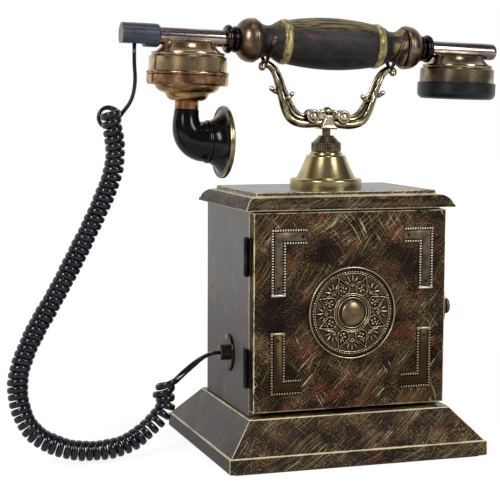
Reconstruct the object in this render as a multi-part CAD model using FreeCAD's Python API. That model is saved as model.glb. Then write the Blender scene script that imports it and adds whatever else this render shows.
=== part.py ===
import FreeCAD, Part
import math
import os

V = FreeCAD.Vector

# Millimetres. +X runs right along the front, the front faces -Y, +Z is up.
# The origin is the middle of the base, on the surface that the telephone stands on.

# Plinth, bottom cover and felt
plinth_width = 187.0
plinth_depth = 154.0
plinth_lip_top_z = 11.3
plinth_ledge = 1.3
plinth_top_inset = 20.7
plinth_top_z = 33.0
plinth_floor_t = 6.0
felt_t = 1.2
felt_inset = 3.0
cover_t = 2.0
cover_half_width = 80.0
cover_half_depth = 64.0
cavity_half_width = 70.0
cavity_half_depth = 54.0
cover_screw_x = 75.0
cover_screw_y = 59.0

# Cabinet boards
body_half_width = 70.0
body_front_y = -44.0
body_back_y = 54.0
body_top_z = 172.5
board_t = 8.0

# Cornice and top board
cornice_half_width = 76.0
cornice_half_depth = 56.6
cornice_inset = 10.5
cornice_fillet_h = 1.8
slab_bottom_z = 181.3
slab_top_z = 184.0
slab_round = 0.6

# Door, hinges, catch and pull
door_gap = 0.4
door_t = 9.8
door_bottom_z = 36.0
door_top_z = 171.0
door_edge_chamfer = 0.7
hinge_spans = ((52.6, 77.8), (128.5, 153.5))
hinge_axis_x = -72.0
hinge_axis_y = -44.2
knuckle_r = 1.7
knuckle_gap = 0.35
hinge_pin_r = 0.8
leaf_t = 1.0
case_leaf_width = 10.0
door_leaf_width = 6.2
running_clearance = 0.05
pull_z = 103.0
pull_plate_h = 24.0
pull_plate_w = 8.6
pull_knob_r = 5.5
pull_reach = 5.0
catch_low_z = 156.0
catch_high_z = 166.0
catch_width = 10.0
strike_t = 1.0

# Ornament on the door
plate_arm = 10.4
top_left_plate = {"outer_x": 58.0, "corner_z": 160.1, "long": 45.4, "short": 25.4}
top_right_plate = {"outer_x": 60.0, "corner_z": 159.2, "long": 42.7, "short": 21.6}
bottom_left_plate = {"outer_x": 58.4, "corner_z": 47.7, "long": 42.7, "short": 22.5}
bottom_right_plate = {"outer_x": 59.2, "corner_z": 47.6, "long": 42.1, "short": 22.7}
plate_t = 1.2
plate_border = 1.7
plate_border_h = 0.7
nail_r = 1.2
medallion_z = 102.0
medallion_r = 31.75
medallion_base_t = 2.2
petal_count = 8

# Cord flange on the left wall
flange_z = 69.0
flange_r = 13.2
flange_t = 2.0
grommet_r = 5.5
grommet_reach = 7.6
grommet_ribs = 4

# Pedestal, post and hook
post_x = 1.5
post_r = 3.0
post_bottom_z = 150.0
post_hole_r = 4.0
bell_rim_r = 25.5
bell_rim_top_z = 190.7
bell_cone_r = 21.0
bell_shoulder_r = 14.4
bell_shoulder_z = 205.0
bell_neck_r = 11.4
bell_neck_z = 208.6
bell_wall = 2.2
nut_r = 10.5
nut_bottom_z = 209.4
nut_top_z = 215.9
nut_cone_r = 5.2
nut_cone_top_z = 220.7
nut_teeth = 36
spring_low_z = 184.4
spring_high_z = 193.0
spring_r = 6.0
spring_wire = 1.2
spring_turns = 4
lever_pivot_x = -24.0
lever_pivot_z = 147.0

# Cradle yoke, drawn upright with its foot at zero and then leaned to the right
cradle_lean_deg = 1.8
yoke_foot_z = 225.2
handset_height = 59.6
fork_x = 47.4
fork_half_angle = 48.5
fork_rod_r = 1.4
fork_clearance = 0.45
fork_reach = 20.4

# Handset, drawn along X about its own axis
grip_half_length = 54.5
grip_belly_r = 18.2
grip_band_r = 15.6
grip_band_x = 35.0
grip_band_half = 2.6
grip_neck_r = 10.75
grip_neck_x = 47.3
grip_end_r = 13.7
dome_crest_r = 15.25
dome_crest_x = 58.5
dome_end_x = 68.5
collar_end_x = 77.5
tube_r = 5.95
tube_wall = 1.2
tube_left_x = -136.0
tube_right_x = 129.5
plug_left_x = -150.3
plug_right_x = -124.0
plug_r = 8.0
plug_flat_z = -6.0
plug_flat_end_x = -134.5
cord_exit_x = -140.8
transmitter_x = -103.0
receiver_x = 100.0
saddle_top_z = -4.0
saddle_low_z = -10.5
case_lip_z = -13.0
case_low_z = -23.2
case_r = 26.8
case_wall = 2.0
ear_cap_r = 28.2
ear_cap_low_z = -35.0
ring_r = 28.35
ring_low_z = -32.7
bowl_step_z = -37.9
bowl_low_z = -43.2
collar_r = 8.2
elbow_top_z = -49.4
elbow_wall = 2.0
horn_axis_z = -70.8
horn_base_x = -89.4
horn_mouth_x = -74.6
horn_rim_r = 25.1

# Dial behind the door
fascia_front_y = -20.0
fascia_t = 3.0
dial_z = 104.0
dial_flange_r = 41.0
dial_flange_t = 3.0
dial_can_r = 29.0
dial_can_depth = 26.0
number_ring_r = 40.0
wheel_r = 36.0
wheel_back_y = -26.6
wheel_t = 1.8
finger_hole_r = 6.4
finger_hole_pcd_r = 27.0
finger_hole_count = 10
finger_hole_step_deg = 30.0
finger_stop_deg = -30.0
spindle_r = 4.0
dial_cap_r = 13.5

# Ringer
gong_r = 21.0
gong_x = 25.0
gong_z = 84.0
gong_front_y = 24.0
gong_depth = 15.0
gong_wall = 1.6
clapper_pivot_z = 116.0
clapper_ball_r = 2.0
coil_x = 14.0
coil_r = 8.0

# Cord. The leads and the middle line of the curls are routes of points chosen by eye.
cord_d = 3.5
curl_outer_d = 14.3
curl_turns = 70
curl_first_deg = 60.0
upper_lead_route = [
    V(-137.55, 0.0, 283.19),
    V(-137.93, 0.0, 271.20),
    V(-136.90, 0.0, 259.80),
    V(-137.40, 0.0, 250.40),
    V(-141.50, 0.0, 243.30),
]
curl_route = [
    V(-153.8, 0.0, 231.5),
    V(-150.4, 0.0, 214.0),
    V(-152.6, -1.0, 196.0),
    V(-161.5, -2.0, 175.0),
    V(-176.5, -4.0, 146.0),
    V(-193.0, -6.0, 116.0),
    V(-211.6, -9.0, 87.0),
    V(-223.6, -12.0, 57.0),
    V(-215.5, -14.0, 25.0),
    V(-191.0, -15.0, 11.0),
    V(-168.0, -14.0, 8.0),
    V(-146.0, -11.0, 10.2),
    V(-129.0, -5.5, 20.5),
    V(-117.5, -2.0, 31.8),
    V(-111.5, 0.0, 38.5),
]
lower_lead_route = [
    V(-107.4, -2.0, 52.8),
    V(-103.0, 0.0, 56.6),
    V(-94.0, 0.0, 63.4),
    V(-87.5, 0.0, 67.4),
    V(-82.0, 0.0, 69.0),
    V(-77.6, 0.0, 69.0),
]

X_AXIS = V(1, 0, 0)
Y_AXIS = V(0, 1, 0)
Z_AXIS = V(0, 0, 1)
CENTRE = V(0, 0, 0)


# Small tools for solids

def box(x0, x1, y0, y1, z0, z1):
    """Block between two corners."""
    return Part.makeBox(x1 - x0, y1 - y0, z1 - z0, V(x0, y0, z0))


def rod(start, end, radius):
    """Round bar between two points."""
    along = end.sub(start)
    return Part.makeCylinder(radius, along.Length, start, along)


def ball(place, radius):
    """Sphere about a point."""
    return Part.makeSphere(radius, place)


def face_xz(steps):
    """Closed face in the XZ plane; a step of four numbers is an arc through its first pair."""
    here = V(steps[0][-2], 0, steps[0][-1])
    edges = []
    for step in list(steps[1:]) + [steps[0][-2:]]:
        end = V(step[-2], 0, step[-1])
        if end.sub(here).Length < 1e-6:
            continue
        if len(step) == 4:
            edges.append(Part.Arc(here, V(step[0], 0, step[1]), end).toShape())
        else:
            edges.append(Part.makeLine(here, end))
        here = end
    return Part.Face(Part.Wire(edges))


def dome_to_axis(radius, low, high):
    """Arc step from a rim to the axis, part of a ball centred on that axis."""
    rise = high - low
    ball_r = (radius * radius + rise * rise) / (2 * abs(rise))
    way = math.copysign(1.0, rise)
    half = math.asin(radius / ball_r) / 2
    return ball_r * math.sin(half), high - way * ball_r * (1 - math.cos(half)), 0.0, high


def mirrored_steps(steps):
    """The same outline on the other side of Z, run backwards."""
    back = [steps[-1][-2:]]
    for later, earlier in zip(steps[::-1], steps[-2::-1]):
        back.append(later[:-2] + earlier[-2:])
    return [tuple(-v if i % 2 == 0 else v for i, v in enumerate(step)) for step in back]


def turned(steps, place=CENTRE):
    """Solid of revolution about Z from steps of radius and height."""
    shape = face_xz(steps).revolve(CENTRE, Z_AXIS, 360)
    return shape.translated(place)


def turned_right(steps, place=CENTRE):
    """Solid of revolution about X, with the heights of the steps along +X."""
    return turned(steps).rotated(CENTRE, Y_AXIS, 90).translated(place)


def turned_front(steps, place=CENTRE):
    """Solid of revolution about Y, with the heights of the steps towards the front."""
    return turned(steps).rotated(CENTRE, X_AXIS, 90).translated(place)


def moulded_block(half_width, half_depth, steps):
    """Block with one moulding, given as inset and height, run round it and mitred at the corners."""
    def slab(half, half_length):
        side = [tuple(half - v if i % 2 == 0 else v for i, v in enumerate(step)) for step in steps]
        face = face_xz(side + mirrored_steps(side))
        return face.extrude(V(0, 2 * half_length, 0)).translated(V(0, -half_length, 0))
    across = slab(half_width, half_depth + 1.0)
    along = slab(half_depth, half_width + 1.0).rotated(CENTRE, Z_AXIS, 90)
    return across.common(along).Solids[0]


def fused(first, *others):
    """Union of solids that overlap, with the seams between them removed."""
    return first.multiFuse(list(others)).removeSplitter()


def group(shapes):
    """Several separate solids in one node."""
    return Part.makeCompound([solid for shape in shapes for solid in shape.Solids])


def round_screw(head_r, head_h, shank_r, shank_l):
    """Domed slotted screw, its head rising from zero along +Z."""
    steps = [(0, -shank_l), (shank_r, -shank_l), (shank_r, 0), (head_r, 0),
             dome_to_axis(head_r, 0, head_h)]
    slot = box(-head_r, head_r, -0.35, 0.35, head_h * 0.5, head_h + 1)
    return turned(steps).cut(slot)


# Routes and wound tubes

def rounded_route(points):
    """Straight runs joined by tangent arcs as large as the runs allow.

    Returns the edges, and the radius at each inner point.
    """
    edges = []
    radii = []
    here = points[0]
    for before, corner, after in zip(points, points[1:], points[2:]):
        back = before.sub(corner)
        onward = after.sub(corner)
        run = min(back.Length, onward.Length)
        half_turn = (math.pi - back.getAngle(onward)) / 2
        reach = 0.45 * run
        radius = reach / math.tan(half_turn)
        back.normalize()
        onward.normalize()
        start = corner + back * reach
        end = corner + onward * reach
        inward = back + onward
        inward.normalize()
        depth = radius / math.cos(half_turn) - radius
        edges.append(Part.makeLine(here, start))
        edges.append(Part.Arc(start, corner + inward * depth, end).toShape())
        radii.append(radius)
        here = end
    edges.append(Part.makeLine(here, points[-1]))
    return edges, radii


def tube_along(edges, diameter):
    """Round tube along a chain of edges that starts at the first edge's start."""
    first = edges[0]
    start = first.valueAt(first.FirstParameter)
    heading = first.tangentAt(first.FirstParameter)
    ring = Part.Wire(Part.Circle(start, heading, diameter / 2).toShape())
    shell = Part.BRepOffsetAPI.MakePipeShell(Part.Wire(edges))
    shell.add(ring)
    shell.build()
    shell.makeSolid()
    return shell.shape()


def biarc(start, start_way, end, end_way):
    """Two tangent arcs between two places with given headings, and the smaller radius."""
    span = end.sub(start)
    both = start_way + end_way
    a = 2 * (start_way.dot(end_way) - 1)
    b = -2 * span.dot(both)
    c = span.dot(span)
    if abs(a) < 1e-9:
        reach = -c / b
    else:
        reach = (-b - math.sqrt(b * b - 4 * a * c)) / (2 * a)
    first_corner = start + start_way * reach
    last_corner = end - end_way * reach
    joint = (first_corner + last_corner) * 0.5
    edges = []
    radii = []
    for here, corner, there in ((start, first_corner, joint), (joint, last_corner, end)):
        back = here.sub(corner)
        onward = there.sub(corner)
        half_turn = (math.pi - back.getAngle(onward)) / 2
        radius = back.Length / math.tan(half_turn)
        inward = back + onward
        inward.normalize()
        depth = radius / math.cos(half_turn) - radius
        edges.append(Part.Arc(here, corner + inward * depth, there).toShape())
        radii.append(radius)
    return edges, min(radii)


class Coil:
    """A helix wound round a middle line made of edges."""

    def __init__(self, edges, radius, turns, first_deg, hand=1):
        self.edges = edges
        self.radius = radius
        self.turns = turns
        self.first = math.radians(first_deg)
        self.hand = hand
        self.total = sum(edge.Length for edge in edges)
        self.side = self.first_side()

    def first_side(self):
        """A direction square to the start of the line, near +X."""
        heading = self.edges[0].tangentAt(self.edges[0].FirstParameter)
        side = X_AXIS - heading * X_AXIS.dot(heading)
        return side.normalize()

    def middle(self, share):
        """Place and heading of the middle line at a share of its length."""
        left = share * self.total
        for edge in self.edges:
            if left <= edge.Length or edge is self.edges[-1]:
                at = edge.getParameterByLength(min(max(left, 0.0), edge.Length))
                return edge.valueAt(at), edge.tangentAt(at)
            left -= edge.Length

    def point(self, share):
        """Place on the helix at a share of its turns."""
        place, heading = self.middle(share)
        side = self.side - heading * self.side.dot(heading)
        side.normalize()
        across = heading.cross(side) * self.hand
        angle = self.first + 2 * math.pi * self.turns * share
        return place + side * (self.radius * math.cos(angle)) + across * (self.radius * math.sin(angle))

    def heading(self, share):
        """Unit heading of the helix at a share of its turns."""
        step = 0.01 / self.turns
        low = max(share - step, 0.0)
        high = min(share + step, 1.0)
        return (self.point(high) - self.point(low)).normalize()

    def arcs(self, steps_per_turn=4):
        """Biarcs along the whole helix, and the smallest radius among them."""
        count = int(round(self.turns * steps_per_turn))
        shares = [i / count for i in range(count + 1)]
        places = [(self.point(share), self.heading(share)) for share in shares]
        edges = []
        least = 1e9
        for (here, way), (there, onward) in zip(places, places[1:]):
            pair, radius = biarc(here, way, there, onward)
            edges.extend(pair)
            least = min(least, radius)
        return edges, least


def least_self_gap(edges, diameter, apart):
    """Smallest gap between stretches of a tube that are further apart along it than a given length."""
    spots = []
    run = 0.0
    for edge in edges:
        pieces = max(2, int(edge.Length / 0.8))
        for i in range(pieces):
            at = edge.getParameterByLength(edge.Length * i / pieces)
            spots.append((run + edge.Length * i / pieces, edge.valueAt(at)))
        run += edge.Length
    cell = 3 * diameter
    cells = {}
    for length, spot in spots:
        key = (int(spot.x // cell), int(spot.y // cell), int(spot.z // cell))
        cells.setdefault(key, []).append((length, spot))
    near = [(i, j, k) for i in (-1, 0, 1) for j in (-1, 0, 1) for k in (-1, 0, 1)]
    least = 1e9
    for key, members in cells.items():
        for shift in near:
            other = cells.get((key[0] + shift[0], key[1] + shift[1], key[2] + shift[2]), [])
            for length, spot in members:
                for other_length, other_spot in other:
                    if other_length - length > apart:
                        least = min(least, spot.distanceToPoint(other_spot))
    return least - diameter


# Cabinet

def plinth_parts():
    """Sloping plinth with its bottom cover, screws and felt pad."""
    lip_in = plinth_ledge
    plinth = moulded_block(plinth_width / 2, plinth_depth / 2, [
        (0.6, felt_t), (0, felt_t + 0.6), (0, plinth_lip_top_z - 0.6), (0.5, plinth_lip_top_z),
        (lip_in, plinth_lip_top_z), (plinth_top_inset, plinth_top_z)])
    cover_top = felt_t + cover_t
    plinth = plinth.cut(box(-cover_half_width, cover_half_width, -cover_half_depth, cover_half_depth,
                            felt_t - 1, cover_top))
    plinth = plinth.cut(box(-cavity_half_width, cavity_half_width, -cavity_half_depth, cavity_half_depth,
                            cover_top - 1, plinth_lip_top_z + 6))
    room_half = body_half_width - board_t
    plinth = plinth.cut(box(-room_half, room_half, body_front_y, body_back_y - board_t,
                            plinth_lip_top_z, plinth_top_z - plinth_floor_t))
    margin = 0.2
    cover = box(-cover_half_width + margin, cover_half_width - margin,
                -cover_half_depth + margin, cover_half_depth - margin, felt_t, cover_top)
    felt = box(-plinth_width / 2 + felt_inset, plinth_width / 2 - felt_inset,
               -plinth_depth / 2 + felt_inset, plinth_depth / 2 - felt_inset, 0, felt_t)
    felt = felt.makeFillet(4.0, [e for e in felt.Edges if abs(e.tangentAt(0).z) > 0.9])
    screws = []
    screw_shank = 1.4
    screw_length = 8.0
    for x in (-cover_screw_x, cover_screw_x):
        for y in (-cover_screw_y, cover_screw_y):
            screw = round_screw(3.0, 0.9, screw_shank, screw_length).rotated(CENTRE, X_AXIS, 180)
            screws.append(screw.translated(V(x, y, felt_t)))
            hole = rod(V(x, y, -1), V(x, y, felt_t + screw_length + 0.3), screw_shank + 0.05)
            plinth = plinth.cut(hole)
            cover = cover.cut(hole)
            felt = felt.cut(rod(V(x, y, -1), V(x, y, felt_t + 1), 4.0))
    return {"base_plinth": plinth, "bottom_cover": cover, "bottom_screws": group(screws),
            "felt_pad": felt}


def carcass_parts():
    """Side boards, rear board with its jack opening, cornice and top board."""
    inner = body_half_width - board_t
    left = box(-body_half_width, -inner, body_front_y, body_back_y, plinth_top_z, body_top_z)
    right = box(inner, body_half_width, body_front_y, body_back_y, plinth_top_z, body_top_z)
    flange_hole = rod(V(-body_half_width - 1, 0, flange_z), V(-inner + 1, 0, flange_z), grommet_r - 1.5)
    left = left.cut(flange_hole)
    for dz in (-1, 1):
        screw_z = flange_z + dz * (flange_r - 3.4)
        left = left.cut(rod(V(-body_half_width - 1, 0, screw_z), V(-body_half_width + 5.2, 0, screw_z), 0.95))
    rear = box(-inner, inner, body_back_y - board_t, body_back_y, plinth_top_z, body_top_z)
    jack = jack_block()
    rear = rear.cut(jack[0])
    post_hole = rod(V(post_x, 0, body_top_z - 1), V(post_x, 0, slab_top_z + 1), post_hole_r)
    tip = cornice_fillet_h + body_top_z
    cornice = moulded_block(cornice_half_width, cornice_half_depth, [
        (0, body_top_z), (0, tip), (0.9, tip + 0.3),
        (3.4, 179.0, cornice_inset - 1.6, slab_bottom_z)])
    slab = moulded_block(cornice_half_width - cornice_inset, cornice_half_depth - cornice_inset, [
        (0, slab_bottom_z), (0, slab_top_z - slab_round), (slab_round, slab_top_z)])
    return {"left_side_panel": left, "right_side_panel": right, "rear_panel": rear, "line_jack": jack[1],
            "top_cornice": cornice.cut(post_hole), "top_board": slab.cut(post_hole)}


def jack_block():
    """Outer block of the line jack and the jack with its stepped socket, open at the back."""
    half_width = 8.8
    low_z = 46.0
    high_z = 61.0
    depth = 16.0
    block = box(-half_width, half_width, body_back_y - depth, body_back_y, low_z, high_z)
    socket = box(-5.9, 5.9, body_back_y - depth + 3, body_back_y + 1, low_z + 4.5, high_z - 3)
    latch = box(-3.2, 3.2, body_back_y - depth + 5, body_back_y + 1, low_z + 2.0, low_z + 4.6)
    return block, block.cut(fused(socket, latch))


def fascia_parts():
    """Fascia behind the door and the dial's fixed pieces on it."""
    inner = body_half_width - board_t
    centre = V(0, fascia_front_y, dial_z)
    fascia = box(-inner, inner, fascia_front_y, fascia_front_y + fascia_t, plinth_top_z, body_top_z)
    can_hole_r = dial_can_r + 0.2
    fascia = fascia.cut(rod(centre + V(0, -10, 0), centre + V(0, 10, 0), can_hole_r))
    bore_r = spindle_r + running_clearance
    body = turned_front([
        (bore_r, dial_flange_t), (bore_r, -dial_can_depth + 4), (dial_can_r - 3, -dial_can_depth + 4),
        (dial_can_r - 3, -dial_can_depth), (dial_can_r, -dial_can_depth), (dial_can_r, 0), (dial_flange_r, 0),
        (dial_flange_r, dial_flange_t - 1), (dial_flange_r - 1, dial_flange_t)], centre)
    ring_low = dial_flange_t
    ring = turned_front([(14.5, ring_low), (number_ring_r, ring_low), (number_ring_r, ring_low + 0.8),
                         (14.5, ring_low + 0.8)], centre)
    stop_angle = math.radians(finger_stop_deg)
    out = V(math.cos(stop_angle), 0, math.sin(stop_angle))
    foot = centre + out * (wheel_r + 2.0) + V(0, -ring_low - 0.8, 0)
    top_y = wheel_back_y - wheel_t - 1.6
    knee = V(foot.x, top_y, foot.z)
    tip = centre + out * (finger_hole_pcd_r - 3.0)
    tip.y = top_y
    stop = fused(rod(foot, knee, 1.1), ball(knee, 1.1), rod(knee, tip, 1.1), ball(tip, 1.1))
    return {"dial_fascia": fascia, "dial_body": body, "number_ring": ring, "finger_stop": stop}


def finger_wheel_parts():
    """Finger wheel with its holes, the spindle and the cap."""
    front = -wheel_back_y + fascia_front_y
    centre = V(0, fascia_front_y, dial_z)
    rim = 0.6
    wheel = turned_front([
        (spindle_r, front), (wheel_r - rim, front), (wheel_r, front + rim), (wheel_r, front + wheel_t - rim),
        (wheel_r - rim, front + wheel_t), (spindle_r, front + wheel_t)], centre)
    first_deg = finger_stop_deg + 60.0
    for i in range(finger_hole_count):
        angle = math.radians(first_deg + finger_hole_step_deg * i)
        spot = V(finger_hole_pcd_r * math.cos(angle), wheel_back_y,
                 dial_z + finger_hole_pcd_r * math.sin(angle))
        wheel = wheel.cut(rod(spot + V(0, -5, 0), spot + V(0, 5, 0), finger_hole_r))
    spindle_back = -dial_can_depth + 6
    spindle = turned_front([(0, spindle_back), (spindle_r, spindle_back), (spindle_r, front + wheel_t),
                            (0, front + wheel_t)], centre)
    cap_low = front + wheel_t
    cap = turned_front([(0, cap_low), (dial_cap_r, cap_low), (dial_cap_r, cap_low + 0.8),
                        dome_to_axis(dial_cap_r, cap_low + 0.8, cap_low + 2.4)], centre)
    return {"finger_wheel": wheel, "dial_spindle": spindle, "dial_cap": cap}


# Door

def door_parts():
    """Door board with its ornament, strike plate and pull."""
    back_y = body_front_y - door_gap
    front_y = back_y - door_t
    door = box(-body_half_width, body_half_width, front_y, back_y, door_bottom_z, door_top_z)
    front_edges = [e for e in door.Edges if all(abs(v.Y - front_y) < 1e-6 for v in e.Vertexes)]
    door = door.makeChamfer(door_edge_chamfer, front_edges)
    strike_x = body_half_width - board_t - catch_width
    strike = box(strike_x, strike_x + catch_width, back_y - strike_t, back_y, catch_low_z, catch_high_z)
    door = door.cut(strike)
    plates, nails, nail_holes = corner_plates(front_y)
    door = door.cut(nail_holes)
    return {"door_panel": door, "catch_strike": strike, "corner_plates": plates, "plate_nails": nails,
            "medallion": medallion(front_y), "door_pull": door_pull((front_y + back_y) / 2)}


def corner_plates(front_y):
    """Four L-shaped plates, their nails and the nail holes; each plate has its own fit on the door."""
    plates = []
    nails = []
    holes = []
    fits = ((top_left_plate, False, False), (top_right_plate, True, False),
            (bottom_left_plate, False, True), (bottom_right_plate, True, True))
    for fit, on_right, at_bottom in fits:
        def put(shape):
            if on_right:
                shape = shape.mirror(CENTRE, X_AXIS)
            if at_bottom:
                shape = shape.mirror(CENTRE, Z_AXIS)
            corner_x = fit["outer_x"] if on_right else -fit["outer_x"]
            return shape.translated(V(corner_x, front_y, fit["corner_z"]))
        plate, plate_nails, plate_holes = corner_plate(fit["long"], fit["short"])
        plates.append(put(plate))
        nails.extend(put(nail) for nail in plate_nails)
        holes.extend(put(hole) for hole in plate_holes)
    return group(plates), group(nails), group(holes)


def corner_plate(long, short):
    """One plate with a raised border and an end bar, its corner at zero, with its nails and their holes."""
    outer = [(0, 0), (short, 0), (short, -plate_arm), (plate_arm, -plate_arm), (plate_arm, -long), (0, -long)]
    b = plate_border
    field_end = short - 0.6
    bar_z = -long + 2.6
    field = [(b, -b), (field_end, -b), (field_end, -plate_arm + b), (plate_arm - b, -plate_arm + b),
             (plate_arm - b, bar_z), (b, bar_z)]
    sheet = face_xz(outer).extrude(V(0, -plate_t - plate_border_h, 0))
    plate = sheet.cut(face_xz(field).extrude(V(0, -9, 0)).translated(V(0, -plate_t, 0)))
    shank_r = 0.5
    shank_l = 4.0
    head = round_screw(nail_r, 0.7, shank_r, shank_l).rotated(CENTRE, X_AXIS, 90)
    nails = []
    holes = []
    for x, z in ((short - 3.2, -plate_arm / 2), (plate_arm / 2, -long + 5.4)):
        hole = rod(V(x, shank_l, z), V(x, -plate_t - 1, z), shank_r + 0.02)
        plate = plate.cut(hole)
        holes.append(hole)
        nails.append(head.translated(V(x, -plate_t, z)))
    return plate, nails, holes


def medallion(front_y):
    """Turned disc with a rim, rings and a dome, and a wreath of raised petals."""
    t = medallion_base_t
    steps = [
        (0, 0), (medallion_r, 0), (medallion_r, 1.2),
        (medallion_r - 0.4, 2.6, medallion_r - 1.6, 2.8), (medallion_r - 2.6, t), (27.2, t),
        (26.7, t + 0.7, 26.0, t), (12.8, t), (12.3, t + 0.9, 11.6, t + 0.2), (9.6, t + 0.2),
        (9.0, t + 1.3), (8.2, t + 1.3), (5.9, t + 2.7, 1.2, t + 3.3), (0.8, t + 3.9), (0, t + 3.9)]
    disc = turned_front(steps, V(0, front_y, medallion_z))
    petals = []
    for i in range(petal_count):
        angle = 360.0 / petal_count * (i + 0.5)
        petal = Part.makeSphere(1.0)
        stretch = FreeCAD.Matrix()
        stretch.scale(V(4.4, 1.1, 5.4))
        petal = petal.transformGeometry(stretch).translated(V(0, -t, 19.3)).rotated(CENTRE, Y_AXIS, angle)
        petals.append(petal.translated(V(0, front_y, medallion_z)))
    return disc.multiFuse(petals)


def door_pull(middle_y):
    """Oval back plate and round knob on the free edge of the door."""
    oval = Part.Ellipse(CENTRE, pull_plate_h / 2, pull_plate_w / 2).toShape()
    plate = Part.Face(Part.Wire(oval)).extrude(V(0, 0, 1.0)).rotated(CENTRE, Y_AXIS, 90)
    face_r = 4.2
    face_low = pull_reach - 0.7
    knob = turned([(0, 0.5), (3.4, 0.5), (2.6, 1.6), (pull_knob_r - 1.2, 2.0),
                   (pull_knob_r, 3.1, face_r, face_low), dome_to_axis(face_r, face_low, pull_reach)])
    knob = knob.rotated(CENTRE, Y_AXIS, 90)
    return fused(plate, knob).translated(V(body_half_width, middle_y, pull_z))


def hinge_parts():
    """Surface butt hinges: case leaves, door leaves and pins."""
    axis = V(hinge_axis_x, hinge_axis_y, 0)
    wall = -body_half_width
    case_leaves = []
    door_leaves = []
    pins = []
    for low, high in hinge_spans:
        third = (high - low) / 3
        cuts = [(low, low + third), (low + third + knuckle_gap, high - third - knuckle_gap),
                (high - third, high)]

        def knuckle(span, radius):
            return rod(axis + V(0, 0, span[0]), axis + V(0, 0, span[1]), radius)
        bore = knuckle((low - 1, high + 1), hinge_pin_r + running_clearance)
        case = box(wall - leaf_t, wall, hinge_axis_y + 0.3, hinge_axis_y + case_leaf_width, low, high)
        door = box(wall - leaf_t, wall, hinge_axis_y - door_leaf_width, hinge_axis_y - 0.3, low, high)
        clear = knuckle_r + knuckle_gap
        case = case.cut(knuckle((cuts[1][0] - knuckle_gap, cuts[1][1] + knuckle_gap), clear))
        door = door.cut(knuckle((low - 1, cuts[1][0]), clear)).cut(knuckle((cuts[1][1], high + 1), clear))
        case = fused(case, knuckle(cuts[0], knuckle_r), knuckle(cuts[2], knuckle_r)).cut(bore)
        door = fused(door, knuckle(cuts[1], knuckle_r)).cut(bore)
        head = 0.8
        head_r = knuckle_r - 0.2
        pin = fused(knuckle((low - head, high + head), hinge_pin_r),
                    knuckle((low - head, low), head_r), knuckle((high, high + head), head_r))
        case_leaves.append(case)
        door_leaves.append(door)
        pins.append(pin)
    return {"case_hinge_leaves": group(case_leaves), "door_hinge_leaves": group(door_leaves),
            "hinge_pins": group(pins)}


def catch_magnet():
    """Magnet catch on the right board, just behind the door."""
    inner = body_half_width - board_t
    body = box(inner - catch_width, inner, body_front_y, body_front_y + 12, catch_low_z, catch_high_z)
    return body.makeChamfer(1.0, [e for e in body.Edges if abs(e.CenterOfMass.y - body_front_y - 12) < 0.01])


# Cord flange

def flange_parts():
    """Round flange on the left wall, its screws and the ribbed grommet."""
    wall = -body_half_width
    hole_r = grommet_r - 1.5
    edge = 1.2
    cut = edge * (1 - math.sqrt(0.5))
    flange = turned_right([
        (hole_r, 0), (flange_r, 0), (flange_r, flange_t - edge),
        (flange_r - cut, flange_t - cut, flange_r - edge, flange_t), (hole_r, flange_t)])
    flange = flange.rotated(CENTRE, Z_AXIS, 180).translated(V(wall, 0, flange_z))
    screws = []
    for side in (-1, 1):
        z = flange_z + side * (flange_r - 3.4)
        screw = round_screw(1.9, 1.0, 0.9, 7.0).rotated(CENTRE, Y_AXIS, -90)
        screws.append(screw.translated(V(wall - flange_t, 0, z)))
        flange = flange.cut(rod(V(wall - 9, 0, z), V(wall + 1, 0, z), 0.95))
    pitch = (grommet_reach - flange_t) / grommet_ribs
    groove = 0.8
    steps = [(0, -6), (hole_r, -6), (hole_r, flange_t), (grommet_r, flange_t)]
    for i in range(grommet_ribs):
        start = flange_t + i * pitch
        steps.append((grommet_r, start + pitch * 0.6))
        if i < grommet_ribs - 1:
            steps.append((grommet_r - groove, start + pitch * 0.6))
            steps.append((grommet_r - groove, start + pitch))
            steps.append((grommet_r, start + pitch))
    steps += [(grommet_r - 0.6, grommet_reach), (0, grommet_reach)]
    grommet = turned_right(steps).rotated(CENTRE, Z_AXIS, 180).translated(V(wall, 0, flange_z))
    return {"cord_flange": flange, "flange_screws": group(screws), "cord_grommet": grommet}


# Pedestal and hook

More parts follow.
